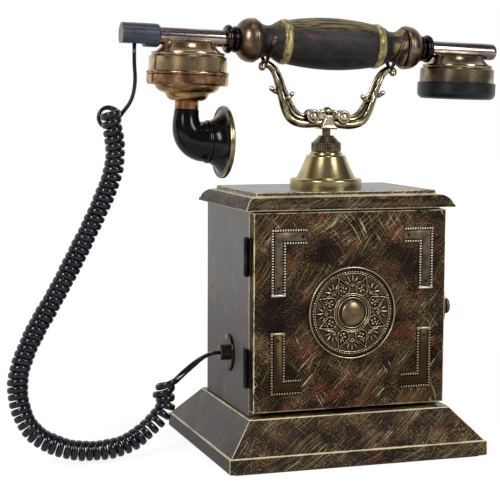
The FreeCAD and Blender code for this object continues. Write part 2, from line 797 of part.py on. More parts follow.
def pedestal_parts():
    """Hollow bell and the knurled nut with a conical top that guides the post."""
    place = V(post_x, 0, 0)
    spigot_r = 7.0
    cone_base_z = bell_rim_top_z + 0.5
    bell = turned([
        (bell_cone_r - bell_wall, slab_top_z), (bell_rim_r, slab_top_z), (bell_rim_r, bell_rim_top_z - 1.6),
        (bell_rim_r - 0.5, bell_rim_top_z - 0.5, bell_rim_r - 1.6, bell_rim_top_z),
        (bell_cone_r + 0.4, bell_rim_top_z), (bell_cone_r, cone_base_z),
        (17.0, 199.0, bell_shoulder_r, bell_shoulder_z), (13.5, 206.6, bell_neck_r + 0.2, 207.2),
        (bell_neck_r, bell_neck_z), (bell_neck_r - 0.8, nut_bottom_z), (spigot_r, nut_bottom_z),
        (spigot_r, bell_shoulder_z - 3.0), (bell_shoulder_r - bell_wall - 1.0, bell_shoulder_z - 3.0)], place)
    bore_r = post_r + running_clearance
    nut = turned([
        (bore_r, bell_shoulder_z - 2.0), (spigot_r, bell_shoulder_z - 2.0), (spigot_r, nut_bottom_z),
        (nut_r - 0.5, nut_bottom_z), (nut_r, nut_bottom_z + 0.5), (nut_r, nut_top_z - 0.5),
        (nut_r - 0.5, nut_top_z), (nut_r - 1.2, nut_top_z + 0.4),
        (nut_cone_r + 0.3, nut_cone_top_z - 0.5), (nut_cone_r, nut_cone_top_z),
        (bore_r, nut_cone_top_z)], place)
    star = []
    for i in range(2 * nut_teeth):
        radius = nut_r + 0.1 if i % 2 == 0 else nut_r - 0.7
        angle = math.pi * i / nut_teeth
        star.append(V(radius * math.cos(angle), radius * math.sin(angle), nut_bottom_z + 0.9))
    band_h = nut_top_z - nut_bottom_z - 1.8
    teeth = Part.Face(Part.makePolygon(star + star[:1])).extrude(V(0, 0, band_h)).translated(place)
    band = turned([(nut_r - 2, nut_bottom_z + 0.9), (nut_r + 1, nut_bottom_z + 0.9),
                   (nut_r + 1, nut_top_z - 0.9), (nut_r - 2, nut_top_z - 0.9)], place)
    return {"pedestal_bell": bell, "pedestal_nut": nut.cut(band.cut(teeth))}


def post_steps():
    """Outline of the post: foot, spring shoulder and head inside the yoke."""
    shoulder_r = spring_r + 1.4
    head_top = yoke_foot_z + 6.0
    shoulder_top = spring_high_z + 2.0
    return [(0, post_bottom_z), (post_r - 0.6, post_bottom_z), (post_r, post_bottom_z + 0.6),
            (post_r, spring_high_z), (shoulder_r, spring_high_z), (shoulder_r, shoulder_top),
            (post_r, shoulder_top), (post_r, head_top), (0, head_top)]


def hook_spring():
    """Coil spring under the post's shoulder."""
    half_wire = spring_wire / 2
    line = Part.makeLine(V(post_x, 0, spring_low_z + half_wire),
                         V(post_x, 0, spring_high_z - half_wire - 0.1))
    coil = Coil([line], spring_r, spring_turns, 0.0)
    edges, least = coil.arcs()
    print("hook spring smallest radius", round(least, 2),
          "least gap", round(least_self_gap(edges, spring_wire, 3 * spring_r), 2))
    return tube_along(edges, spring_wire)


def lean(shape):
    """Put a piece drawn upright about the yoke's foot into its leaning place."""
    return shape.rotated(CENTRE, Y_AXIS, cradle_lean_deg).translated(V(post_x, 0, yoke_foot_z))


def lean_point(point):
    """The leaning place of a point of the upright yoke."""
    turn = FreeCAD.Rotation(Y_AXIS, cradle_lean_deg)
    return turn.multVec(point) + V(post_x, 0, yoke_foot_z)


def yoke_arm():
    """Right arm of the yoke: an S-shaped tapering casting with a curled top, buds, volute and fork."""
    stations = [
        (4.0, 4.6, 3.4, 0.0), (12.0, 3.9, 3.4, -2.0), (20.0, 4.1, 3.5, 14.0), (26.2, 7.2, 3.5, 40.0),
        (30.4, 12.8, 3.3, 60.0), (33.2, 21.0, 3.0, 71.0), (36.2, 30.0, 2.9, 70.0), (39.2, 37.0, 2.8, 62.0),
        (43.2, 42.0, 2.7, 36.0), (47.6, 43.4, 2.8, -4.0)]
    rings = []
    for x, z, radius, climb in stations:
        way = V(math.cos(math.radians(climb)), 0, math.sin(math.radians(climb)))
        rings.append(Part.Wire(Part.Circle(V(x, 0, z), way, radius).toShape()))
    arm = Part.makeLoft(rings, True)
    end = stations[-1]
    curl = ball(V(end[0], 0, end[1]), end[2] + 0.15)
    eye = rod(V(end[0] + 0.6, -3.5, end[1] - 0.4), V(end[0] + 0.6, 3.5, end[1] - 0.4), 2.0)
    volute_x, volute_z, volute_r = 11.5, 8.6, 4.35
    volute = rod(V(volute_x, -5.0, volute_z), V(volute_x, 5.0, volute_z), volute_r)
    boss = rod(V(volute_x, -5.8, volute_z), V(volute_x, 5.8, volute_z), 2.9)
    buds = []
    for root, tip in ((V(34.6, 0, 25.0), V(43.2, 0, 26.8)), (V(33.6, 0, 22.0), V(26.6, 0, 23.6))):
        stem = tip.sub(root)
        buds.append(Part.makeCone(2.0, 1.0, stem.Length, root, stem))
        buds.append(ball(tip, 1.8))
    half = math.radians(fork_half_angle)
    vertex_z = handset_height - (grip_neck_r + fork_rod_r + fork_clearance) / math.sin(half)
    vertex = V(fork_x, 0, vertex_z)
    prongs = []
    for side in (-1, 1):
        tip = vertex + V(0, side * fork_reach, fork_reach / math.tan(half))
        prongs.append(rod(vertex, tip, fork_rod_r))
        prongs.append(ball(tip, fork_rod_r + 0.1))
    return fused(arm, curl, eye, volute, boss, *buds, *prongs)


def yoke():
    """Cast cradle: two mirrored arms on a shield-shaped middle with a ball on top."""
    arm = yoke_arm()
    shield = face_xz([(-6.6, 0.0), (6.6, 0.0), (6.2, 2.6), (4.6, 5.6, 3.6, 8.8), (4.6, 12.0),
                      (-4.6, 12.0), (-3.6, 8.8), (-4.6, 5.6, -6.2, 2.6)])
    shield_half = 6.4
    middle = shield.extrude(V(0, 2 * shield_half, 0)).translated(V(0, -shield_half, 0))
    knob = ball(V(0, 0, 12.2), 3.6)
    upright = fused(arm, arm.mirror(CENTRE, X_AXIS), middle, knob)
    socket = rod(V(post_x, 0, yoke_foot_z - 5), V(post_x, 0, yoke_foot_z + 6), post_r)
    return lean(upright).cut(socket)


def hook_parts():
    """Post, yoke, spring, and the switch with the lever under the post."""
    post = turned(post_steps(), V(post_x, 0, 0))
    bracket_x = lever_pivot_x - 9.0
    pivot = V(lever_pivot_x, 0, lever_pivot_z)
    arm_y = 6.0
    contact_low_z = dial_z + dial_can_r + 1.5
    bracket = fused(
        box(bracket_x, bracket_x + 3, -arm_y - 3, arm_y + 3, contact_low_z, body_top_z),
        box(bracket_x, lever_pivot_x + 4, -arm_y - 3, -arm_y, lever_pivot_z - 5, lever_pivot_z + 5),
        box(bracket_x, lever_pivot_x + 4, arm_y, arm_y + 3, lever_pivot_z - 5, lever_pivot_z + 5),
        box(bracket_x, bracket_x + 20, -5, 5, contact_low_z, contact_low_z + 7),
        rod(pivot + V(0, -arm_y - 1, 0), pivot + V(0, arm_y + 1, 0), 1.0))
    bore = rod(pivot + V(0, -9, 0), pivot + V(0, 9, 0), 1.0 + running_clearance)
    blade = box(lever_pivot_x, post_x + 4, -4, 4, lever_pivot_z + 0.6, lever_pivot_z + 2.0)
    lever = fused(rod(pivot + V(0, -5, 0), pivot + V(0, 5, 0), 2.2), blade).cut(bore)
    return {"hook_post": post, "cradle_yoke": yoke(), "hook_spring": hook_spring(),
            "hook_switch": bracket, "switch_lever": lever}


# Ringer and circuit board

def ringer_parts():
    """Ringer frame with its gong posts, two coils, two gongs and the clapper."""
    wall = body_back_y - board_t
    gong_post_r = 2.5
    bore_r = gong_post_r + running_clearance
    pin_r = 1.5
    pivot = V(0, 0, clapper_pivot_z)
    frame = [box(-24, 24, wall - 3, wall, 108, 148), box(-24, 24, 24, wall, 143, 146),
             rod(pivot + V(0, 28, 0), pivot + V(0, wall, 0), pin_r)]
    gongs = []
    for side in (-1, 1):
        spot = V(side * gong_x, 0, gong_z)
        frame.append(box(side * gong_x - 4, side * gong_x + 4, wall - 3, wall, gong_z - 4, 110))
        frame.append(rod(spot + V(0, gong_front_y - 1.5, 0), spot + V(0, wall - 1, 0), gong_post_r))
        low = -gong_depth
        gongs.append(turned_front([
            (bore_r, 0), (4.0, 0), (gong_r - 4, -2.6, gong_r, low), (gong_r - gong_wall, low),
            (gong_r - 5, -4.0, 4.0, -gong_wall), (bore_r, -gong_wall)], V(spot.x, gong_front_y, gong_z)))
    coils = [rod(V(side * coil_x, 33, 121), V(side * coil_x, 33, 143), coil_r) for side in (-1, 1)]
    ball_z = gong_z
    hub_half = 4.0
    middle_y = 34.0
    middle = pivot + V(0, middle_y, 0)
    clapper_ball = V(0, middle_y, ball_z)
    clapper = fused(
        rod(middle - V(0, hub_half, 0), middle + V(0, hub_half, 0), 3.0),
        box(-20, 20, middle_y - hub_half, middle_y + hub_half, clapper_pivot_z - 1.2, clapper_pivot_z + 1.2),
        rod(clapper_ball, middle, 0.8), ball(clapper_ball, clapper_ball_r))
    clapper = clapper.cut(rod(pivot + V(0, 20, 0), pivot + V(0, wall, 0), pin_r + running_clearance))
    return {"ringer_frame": fused(*frame), "ringer_coils": group(coils), "ringer_gongs": group(gongs),
            "clapper": clapper}


def circuit_board():
    """Board on four standoffs with its transformer, capacitor and terminal strip."""
    top = 41.6
    pieces = [box(-45, 45, -8, 34, 40, top), box(-34, -14, 4, 22, top - 0.1, top + 13),
              rod(V(8, 12, top - 0.1), V(8, 12, top + 15), 5.5), box(22, 40, 0, 8, top - 0.1, top + 9)]
    for x in (-41, 41):
        for y in (-4, 30):
            pieces.append(rod(V(x, y, plinth_top_z), V(x, y, 40.5), 2.6))
    return fused(*pieces)


# Handset

def handset(shape):
    """Put a piece drawn along the handset's own axis into its place on the cradle."""
    return lean(shape.translated(V(0, 0, handset_height)))


def both_ends(shape):
    """A piece and its mirror image at the other end of the grip."""
    return group([shape, shape.mirror(CENTRE, X_AXIS)])


def grip_parts():
    """Turned grip, end domes, bead collars and the long tube."""
    bore = tube_r
    band_edge = grip_band_r - 0.4
    half_grip = turned_right([
        (bore, 0.0), (grip_belly_r, 0.0),
        (grip_belly_r - 0.78, 16.2, band_edge, grip_band_x - grip_band_half),
        (grip_band_r + 0.15, grip_band_x, band_edge - 0.5, grip_band_x + grip_band_half),
        (grip_end_r - 0.6, 40.6), (grip_neck_r, grip_neck_x, grip_end_r, 53.9),
        (grip_end_r, grip_half_length), (bore, grip_half_length)])
    grip = fused(half_grip, half_grip.mirror(CENTRE, X_AXIS))
    rabbet_r = 12.9
    dome = turned_right([
        (bore, grip_half_length), (rabbet_r, grip_half_length), (rabbet_r, grip_half_length + 0.9),
        (dome_crest_r - 0.4, grip_half_length + 1.1), (dome_crest_r + 0.1, 57.0, dome_crest_r, dome_crest_x),
        (13.1, 65.0, 8.2, dome_end_x), (bore, dome_end_x)])
    collar = turned_right([
        (bore, dome_end_x), (7.8, dome_end_x), (9.1, 70.1, 7.6, 71.7), (7.2, 72.4),
        (9.9, 75.0, 7.2, collar_end_x), (bore, collar_end_x)])
    end_round = 3.0
    inner = tube_r - tube_wall
    tube = turned_right([
        (inner, tube_left_x), (tube_r, tube_left_x), (tube_r, tube_right_x - end_round),
        (tube_r - 0.9, tube_right_x - 0.9, tube_r - end_round, tube_right_x), (0, tube_right_x),
        (0, tube_right_x - end_round), (inner, tube_right_x - end_round)])
    return {"handle_grip": handset(grip), "grip_end_domes": handset(both_ends(dome)),
            "tube_collars": handset(both_ends(collar)), "handset_tube": handset(tube)}


def cord_plug():
    """Plastic plug on the left end of the tube, stepped flat below where the cord leaves."""
    edge = 0.9
    cut = edge * (1 - math.sqrt(0.5))
    plug = turned_right([
        (0, plug_left_x), (plug_r - edge, plug_left_x),
        (plug_r - cut, plug_left_x + cut, plug_r, plug_left_x + edge), (plug_r, plug_right_x - 1.4),
        (plug_r - edge, plug_right_x), (tube_r, plug_right_x), (tube_r, tube_left_x), (0, tube_left_x)])
    flat = box(plug_left_x - 1, plug_flat_end_x, -plug_r - 1, plug_r + 1, -plug_r - 1, plug_flat_z)
    return handset(plug.cut(flat))


def capsule_case(x):
    """Turned case that hangs under the tube, hollow and open below."""
    inner = case_r - case_wall
    case = turned([
        (0, saddle_top_z), (17.4, saddle_top_z), (18.6, -6.0, 23.4, saddle_low_z), (25.0, saddle_low_z),
        (25.2, saddle_low_z - 1.2, 24.8, case_lip_z), (case_r - 0.8, case_lip_z),
        (case_r, case_lip_z - 0.9), (case_r, case_low_z), (inner, case_low_z),
        (inner, case_lip_z - 0.5), (0, case_lip_z - 0.5)], V(x, 0, 0))
    return case.cut(rod(V(-200, 0, 0), V(200, 0, 0), tube_r))


def receiver_parts():
    """Receiver case, the ear cap with its sound holes, and both capsule inserts."""
    place = V(receiver_x, 0, 0)
    low = ear_cap_low_z
    dish_r = 20.0
    inner = 25.6
    cap = turned([
        (inner, case_low_z), (ear_cap_r - 0.5, case_low_z), (ear_cap_r, case_low_z - 0.8),
        (ear_cap_r, low + 4.5), (ear_cap_r - 1.3, low + 1.3, ear_cap_r - 4.5, low), (dish_r, low),
        dome_to_axis(dish_r, low, low + 3.4), (0, low + 6.4), (dish_r, low + 6.4), (inner, low + 8.0)], place)
    hole_ring_r = 5.0
    for i in range(7):
        angle = math.radians(60 * i)
        radius = 0.0 if i == 6 else hole_ring_r
        spot = place + V(radius * math.cos(angle), radius * math.sin(angle), 0)
        cap = cap.cut(rod(spot + V(0, 0, low - 1), spot + V(0, 0, low + 9), 1.2))
    insert = turned([(0, -14.0), (22.0, -14.0), (23.0, -15.0), (23.0, -22.4), (0, -22.4)])
    inserts = group([insert.translated(place), insert.translated(V(transmitter_x, 0, 0))])
    return {"receiver_case": handset(capsule_case(receiver_x)), "receiver_cap": handset(cap),
            "capsule_inserts": handset(inserts)}


def transmitter_parts():
    """Transmitter case, screwed ring, stepped cover and copper collar."""
    place = V(transmitter_x, 0, 0)
    inner = 25.4
    throat_r = 6.2
    ring = turned([
        (inner, case_low_z), (ring_r - 0.8, case_low_z),
        (ring_r + 0.1, case_low_z - 1.3, ring_r - 0.9, case_low_z - 2.6),
        (ring_r - 0.3, case_low_z - 3.0), (ring_r - 0.3, ring_low_z + 1.2), (ring_r - 1.4, ring_low_z),
        (21.0, ring_low_z), (21.0, ring_low_z + 2.0), (inner, ring_low_z + 2.0)], place)
    wall = 1.8
    cover = turned([
        (22.6, ring_low_z), (20.4, -35.9, 15.6, bowl_step_z), (15.6, bowl_step_z - 0.6),
        (14.7, bowl_step_z - 0.9), (13.2, -41.6, 9.0, bowl_low_z), (throat_r, bowl_low_z),
        (throat_r, bowl_low_z + wall),
        (11.5, -40.0, 13.4, bowl_step_z), (18.8, -34.6, 20.6, ring_low_z)], place)
    collar = turned([
        (throat_r, bowl_low_z), (collar_r - 0.3, bowl_low_z), (collar_r, bowl_low_z - 0.5),
        (collar_r, elbow_top_z + 0.6), (collar_r - 0.6, elbow_top_z), (throat_r, elbow_top_z)], place)
    return {"transmitter_case": handset(capsule_case(transmitter_x)), "transmitter_ring": handset(ring),
            "transmitter_cover": handset(cover), "mouth_collar": handset(collar)}


def elbow_loft(shrink):
    """Bend from the collar to the horn through rings that widen as they turn."""
    stations = [
        (transmitter_x, elbow_top_z, 8.6, 0.0), (transmitter_x, -57.0, 9.3, 4.0),
        (-100.9, -65.4, 11.3, 40.0), (-95.6, -69.8, 13.1, 74.0), (horn_base_x, horn_axis_z, 13.9, 90.0)]
    rings = []
    for x, z, radius, turn in stations:
        way = V(math.sin(math.radians(turn)), 0, -math.cos(math.radians(turn)))
        rings.append(Part.Wire(Part.Circle(V(x, 0, z), way, radius - shrink).toShape()))
    return Part.makeLoft(rings, True)


def mouth_parts():
    """Elbow, flared horn and brass rim of the mouthpiece."""
    elbow = elbow_loft(0.0).cut(elbow_loft(elbow_wall))
    place = V(0, 0, horn_axis_z)
    flange_back_x = horn_mouth_x - 3.6
    rim_x = horn_mouth_x - 1.8
    flange_r_outer = horn_rim_r - 1.0
    throat_r = 11.9
    horn = turned_right([
        (throat_r, horn_base_x), (14.1, horn_base_x), (14.9, horn_base_x + 1.2, 14.6, horn_base_x + 3.0),
        (16.2, -83.2, 21.4, flange_back_x), (flange_r_outer, flange_back_x + 0.6), (flange_r_outer, rim_x),
        (20.6, rim_x), (14.6, -82.4, throat_r, horn_base_x + 3.0)], place)
    rim = turned_right([
        (flange_r_outer, flange_back_x + 0.2), (horn_rim_r - 0.4, flange_back_x + 0.2),
        (horn_rim_r, flange_back_x + 0.8), (horn_rim_r, horn_mouth_x - 0.9),
        (horn_rim_r - 0.9, horn_mouth_x), (21.4, horn_mouth_x), (20.8, rim_x),
        (flange_r_outer, rim_x)], place)
    return {"mouth_elbow": handset(elbow), "mouth_horn": handset(horn), "horn_rim": handset(rim)}


# Cord

def lead(name, route):
    """Plain stretch of cord along a route; prints its radii and compares its volume with its length."""
    edges, radii = rounded_route(route)
    tube = tube_along(edges, cord_d)
    length = sum(edge.Length for edge in edges)
    share = tube.Volume / (math.pi * cord_d * cord_d / 4 * length)
    print(name, "length", round(length, 1), "radii", [round(r, 1) for r in radii],
          "volume share", round(share, 4))
    return tube


def curl():
    """The curls: one unbroken tube wound round the route, tangent to both leads at its ends."""
    middle, radii = rounded_route(curl_route)
    coil = Coil(middle, (curl_outer_d - cord_d) / 2, curl_turns, curl_first_deg, hand=-1)
    edges, least = coil.arcs()
    entry = (upper_lead_route[-1] - upper_lead_route[-2]).normalize()
    start = upper_lead_route[-1]
    inside = start + entry * cord_d
    first, first_radius = biarc(inside, entry, coil.point(0.0), coil.heading(0.0))
    leave = (lower_lead_route[1] - lower_lead_route[0]).normalize()
    end = lower_lead_route[0]
    outside = end - leave * cord_d
    last, last_radius = biarc(coil.point(1.0), coil.heading(1.0), outside, leave)
    path = [Part.makeLine(start, inside)] + first + edges + last + [Part.makeLine(outside, end)]
    length = sum(edge.Length for edge in path)
    gap = least_self_gap(path, cord_d, 0.6 * math.pi * curl_outer_d)
    print("curl length", round(length, 1), "middle", round(coil.total, 1),
          "middle radii", [round(r) for r in radii])
    print("curl smallest radius", round(least, 2), "ends", round(first_radius, 2), round(last_radius, 2),
          "least gap", round(gap, 2))
    tube = tube_along(path, cord_d)
    print("curl volume share", round(tube.Volume / (math.pi * cord_d * cord_d / 4 * length), 4),
          "lowest", round(tube.BoundBox.ZMin, 2))
    return tube


def cord_parts():
    """Handset cord: lead from the plug, curls, lead into the grommet."""
    return {"cord_upper_lead": lead("upper lead", upper_lead_route), "cord_curl": curl(),
            "cord_lower_lead": lead("lower lead", lower_lead_route)}


def main():
    """Build every piece and write one file for each."""
    os.makedirs("parts", exist_ok=True)
    pieces = {}
    for made in (plinth_parts(), carcass_parts(), fascia_parts(), finger_wheel_parts(), door_parts(),
                 hinge_parts(), {"catch_magnet": catch_magnet()}, flange_parts(), pedestal_parts(),
                 hook_parts(), ringer_parts(), {"circuit_board": circuit_board()}, grip_parts(),
                 {"cord_plug": cord_plug()}, receiver_parts(), transmitter_parts(), mouth_parts(),
                 cord_parts()):
        pieces.update(made)
    for name, shape in pieces.items():
        solids = shape.Solids
        whole = solids[0] if len(solids) == 1 else Part.makeCompound(solids)
        if not whole.isValid():
            print("not valid:", name)
        whole.exportStep("parts/" + name + ".step")
    print(len(pieces), "nodes")


main()
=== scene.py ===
"""Cabinet telephone: finishes, cast ornament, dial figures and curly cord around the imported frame."""
import logging
import math
from dataclasses import dataclass
from enum import Enum
from typing import Callable, ClassVar, Sequence

import bmesh
import bpy
import numpy as np
from mathutils import Matrix, Vector


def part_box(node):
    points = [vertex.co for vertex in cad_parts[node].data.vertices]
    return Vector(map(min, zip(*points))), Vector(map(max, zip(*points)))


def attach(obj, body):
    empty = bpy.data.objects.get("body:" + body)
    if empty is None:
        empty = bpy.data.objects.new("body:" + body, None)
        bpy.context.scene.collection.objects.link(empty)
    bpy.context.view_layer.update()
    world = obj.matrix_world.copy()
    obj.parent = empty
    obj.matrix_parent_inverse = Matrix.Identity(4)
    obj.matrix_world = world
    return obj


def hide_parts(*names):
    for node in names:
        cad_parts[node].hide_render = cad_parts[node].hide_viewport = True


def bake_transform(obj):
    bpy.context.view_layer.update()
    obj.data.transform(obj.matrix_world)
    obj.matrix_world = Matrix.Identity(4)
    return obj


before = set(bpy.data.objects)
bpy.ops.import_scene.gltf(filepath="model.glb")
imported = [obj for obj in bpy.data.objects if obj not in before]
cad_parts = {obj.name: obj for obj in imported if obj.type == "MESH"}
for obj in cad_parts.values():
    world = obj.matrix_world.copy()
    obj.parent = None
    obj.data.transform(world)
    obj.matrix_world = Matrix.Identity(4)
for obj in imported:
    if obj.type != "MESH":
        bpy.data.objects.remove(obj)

LOG = logging.getLogger("telephone")
ACROSS = Vector((1, 0, 0))
MM = 0.001
Colour = tuple[float, float, float, float]
Point2 = tuple[float, float]
Point3 = tuple[float, float, float]
Tones = tuple[tuple[float, str], ...]


class Body(Enum):
    """The moving bodies of the frame that new pieces ride on."""

    CABINET = "cabinet"
    DOOR = "door"
    HOOK = "hook"
    HANDSET = "handset"


class Relief(Enum):
    """Whether a cast surface darkens in its hollows and brightens on its ridges."""

    PLAIN = "plain"
    MODELLED = "modelled"


class EdgeForm(Enum):
    """How the worn edges of a board lie: on a plain box, or on a stepped moulding with mitred corners."""

    BOX = "box"
    MOULDING = "moulding"


def ink(code: str) -> Colour:
    """A colour written as hex digits, as linear values for a shader.

    Args:
        code: the colour, such as "#8d7f45".

    Returns:
        Linear red, green and blue, with full alpha.
    """
    shares = [int(code[start:start + 2], 16) / 255 for start in (1, 3, 5)]
    linear = [share / 12.92 if share <= 0.04045 else ((share + 0.055) / 1.055) ** 2.4 for share in shares]
    return (linear[0], linear[1], linear[2], 1.0)


class Wire:
    """A shader socket whose arithmetic adds Math nodes to its sheet."""

    def __init__(self, sheet: "ShaderSheet", socket: bpy.types.NodeSocket) -> None:
        """Wraps one output socket."""
        self.sheet = sheet
        self.socket = socket

    def _math(self, operation: str, *values: "Wire | float") -> "Wire":
        """One Math node fed by the given values."""
        return self.sheet.node("ShaderNodeMath", {"operation": operation}, dict(enumerate(values)))

    def __add__(self, other: "Wire | float") -> "Wire":
        """Sum of two values."""
        return self._math("ADD", self, other)

    __radd__ = __add__

    def __sub__(self, other: "Wire | float") -> "Wire":
        """This value less another."""
        return self._math("SUBTRACT", self, other)

    def __rsub__(self, other: float) -> "Wire":
        """A number less this value."""
        return self._math("SUBTRACT", other, self)

    def __mul__(self, other: "Wire | float") -> "Wire":
        """Product of two values."""
        return self._math("MULTIPLY", self, other)

    __rmul__ = __mul__

    def __truediv__(self, other: "Wire | float") -> "Wire":
        """This value over another."""
        return self._math("DIVIDE", self, other)

    def __abs__(self) -> "Wire":
        """Size of the value without its sign."""
        return self._math("ABSOLUTE", self)

    def least(self, other: "Wire | float") -> "Wire":
        """The smaller of two values."""
        return self._math("MINIMUM", self, other)

    def most(self, other: "Wire | float") -> "Wire":
        """The larger of two values."""
        return self._math("MAXIMUM", self, other)

    def sine(self) -> "Wire":
        """Sine of the value in radians."""
        return self._math("SINE", self)

    def fade(self, start: float, end: float) -> "Wire":
        """Eases from 0 at start to 1 at end, in either direction."""
        return self.sheet.node("ShaderNodeMapRange", {"interpolation_type": "SMOOTHSTEP"},
                               {"Value": self, "From Min": start, "From Max": end})


class ShaderSheet:
    """The node tree of one material or of the world."""

    face_turn: ClassVar[float] = 0.01
    side_lean: ClassVar[Point2] = (0.25, 0.6)

    def __init__(self, tree: bpy.types.NodeTree) -> None:
        """Takes over a tree and empties it."""
        self.tree = tree
        tree.nodes.clear()
        self._place: tuple[Wire, Wire, Wire] | None = None

    def node(self, kind: str, settings: dict | None = None, inputs: dict | None = None,
             output: int | str = 0) -> Wire:
        """Adds one node.

        Args:
            kind: the node's type.
            settings: its properties, set first; "stops" are a colour ramp's positions and colours.
            inputs: values or wires by socket name or number.
            output: which output to return.

        Returns:
            The chosen output.
        """
        made = self.tree.nodes.new(kind)
        for name, value in (settings or {}).items():
            if name == "stops":
                self._set_stops(made.color_ramp, value)
            else:
                setattr(made, name, value)
        for key, value in (inputs or {}).items():
            if isinstance(value, Wire):
                self.tree.links.new(value.socket, made.inputs[key])
            else:
                made.inputs[key].default_value = value
        return Wire(self, made.outputs[output])

    @staticmethod
    def _set_stops(ramp: bpy.types.ColorRamp, stops: Sequence[tuple[float, Colour]]) -> None:
        """Gives a colour ramp its stops."""
        while len(ramp.elements) < len(stops):
            ramp.elements.new(1.0)
        for element, (position, colour) in zip(ramp.elements, stops):
            element.position = position
            element.color = colour

    def split(self, vector: Wire) -> tuple[Wire, Wire, Wire]:
        """The three parts of a vector."""
        parts = self.node("ShaderNodeSeparateXYZ", inputs={0: vector})
        sockets = parts.socket.node.outputs
        return Wire(self, sockets[0]), Wire(self, sockets[1]), Wire(self, sockets[2])

    def place(self) -> tuple[Wire, Wire, Wire]:
        """Place on the object at rest, in millimetres."""
        if self._place is None:
            metres = self.node("ShaderNodeTexCoord", output="Object")
            self._place = self.split(self.node("ShaderNodeVectorMath", {"operation": "SCALE"},
                                               {0: metres, "Scale": 1 / MM}))
        return self._place

    def face_place(self) -> tuple[Wire, Wire, Wire]:
        """Place across and up the flat face that a point lies on, in millimetres, and 1 on a side face."""
        x, y, z = self.place()
        facing = self.split(self.node("ShaderNodeTexCoord", output="Normal"))
        out_x, out_y, out_z = (abs(part) for part in facing)
        on_side = (out_x - out_y.most(out_z)).fade(-self.face_turn, self.face_turn)
        on_top = (out_z - out_y.most(out_x)).fade(-self.face_turn, self.face_turn)
        return x + (y - x) * on_side, z + (y - z) * on_top, out_x.fade(*self.side_lean)

    def rays(self) -> tuple[Wire, Wire]:
        """1 on rays from the camera, and 1 on rays that a mirror sends on."""
        kinds = self.node("ShaderNodeLightPath").socket.node.outputs
        seen = Wire(self, kinds["Is Camera Ray"]).most(Wire(self, kinds["Is Transmission Ray"]))
        return seen, Wire(self, kinds["Is Glossy Ray"])

    def noise(self, x: Wire, y: Wire, z: "Wire | float", detail: float = 2.0, rough: float = 0.5) -> Wire:
        """Soft noise around one half, at places counted in its own grain size."""
        at = self.node("ShaderNodeCombineXYZ", inputs={0: x, 1: y, 2: z})
        grain = {"Vector": at, "Scale": 1.0, "Detail": detail, "Roughness": rough}
        return self.node("ShaderNodeTexNoise", inputs=grain)

    def cloud(self, size_mm: float, detail: float = 3.0) -> Wire:
        """Noise of one grain size through the whole object."""
        x, y, z = self.place()
        return self.noise(x / size_mm, y / size_mm, z / size_mm, detail)

    def blend(self, mask: "Wire | float", under: "Wire | Colour", over: "Wire | Colour") -> Wire:
        """One colour laid over another where the mask is 1."""
        return self.node("ShaderNodeMix", {"data_type": "RGBA"}, {0: mask, 6: under, 7: over}, output=2)

    def tone(self, value: Wire, *stops: tuple[float, str]) -> Wire:
        """A colour chosen by a value, from stops of position and hex colour."""
        return self.node("ShaderNodeValToRGB", {"stops": [(at, ink(code)) for at, code in stops]}, {0: value})

    def bump(self, height: Wire, depth_mm: float, strength: float = 1.0) -> Wire:
        """A surface normal roughened by a height from 0 to 1."""
        relief = {"Height": height, "Distance": depth_mm * MM, "Strength": strength}
        return self.node("ShaderNodeBump", inputs=relief)

    def surface(self, inputs: dict) -> None:
        """Ends the sheet with one principled surface."""
        self.node_end(self.node("ShaderNodeBsdfPrincipled", inputs=inputs))

    def node_end(self, shade: Wire, kind: str = "ShaderNodeOutputMaterial") -> None:
        """Joins a shader to the sheet's output."""
        end = self.tree.nodes.new(kind)
        self.tree.links.new(shade.socket, end.inputs["Surface"])


class Finish:
    """A surface treatment, made into one material the first time that a piece needs it."""

    name: str
    made: ClassVar[dict["Finish", bpy.types.Material]] = {}

    def material(self) -> bpy.types.Material:
        """The finish's material."""
        if self not in Finish.made:
            material = bpy.data.materials.new(self.name)
            material.use_nodes = True
            self.paint(ShaderSheet(material.node_tree))
            Finish.made[self] = material
        return Finish.made[self]

    def paint(self, sheet: ShaderSheet) -> None:
        """Lays the finish on an empty sheet."""
        raise NotImplementedError


@dataclass(frozen=True)
class Spot:
    """An oval place on a face, with a soft edge, in millimetres."""

    u: float
    v: float
    half_u: float
    half_v: float
    soft_edge: ClassVar[Point2] = (1.3, 0.25)

    def mask(self, u: Wire, v: Wire) -> Wire:
        """1 in the middle of the spot, 0 outside it."""
        across = (u - self.u) / self.half_u
        up = (v - self.v) / self.half_v
        return (across * across + up * up).fade(*self.soft_edge)


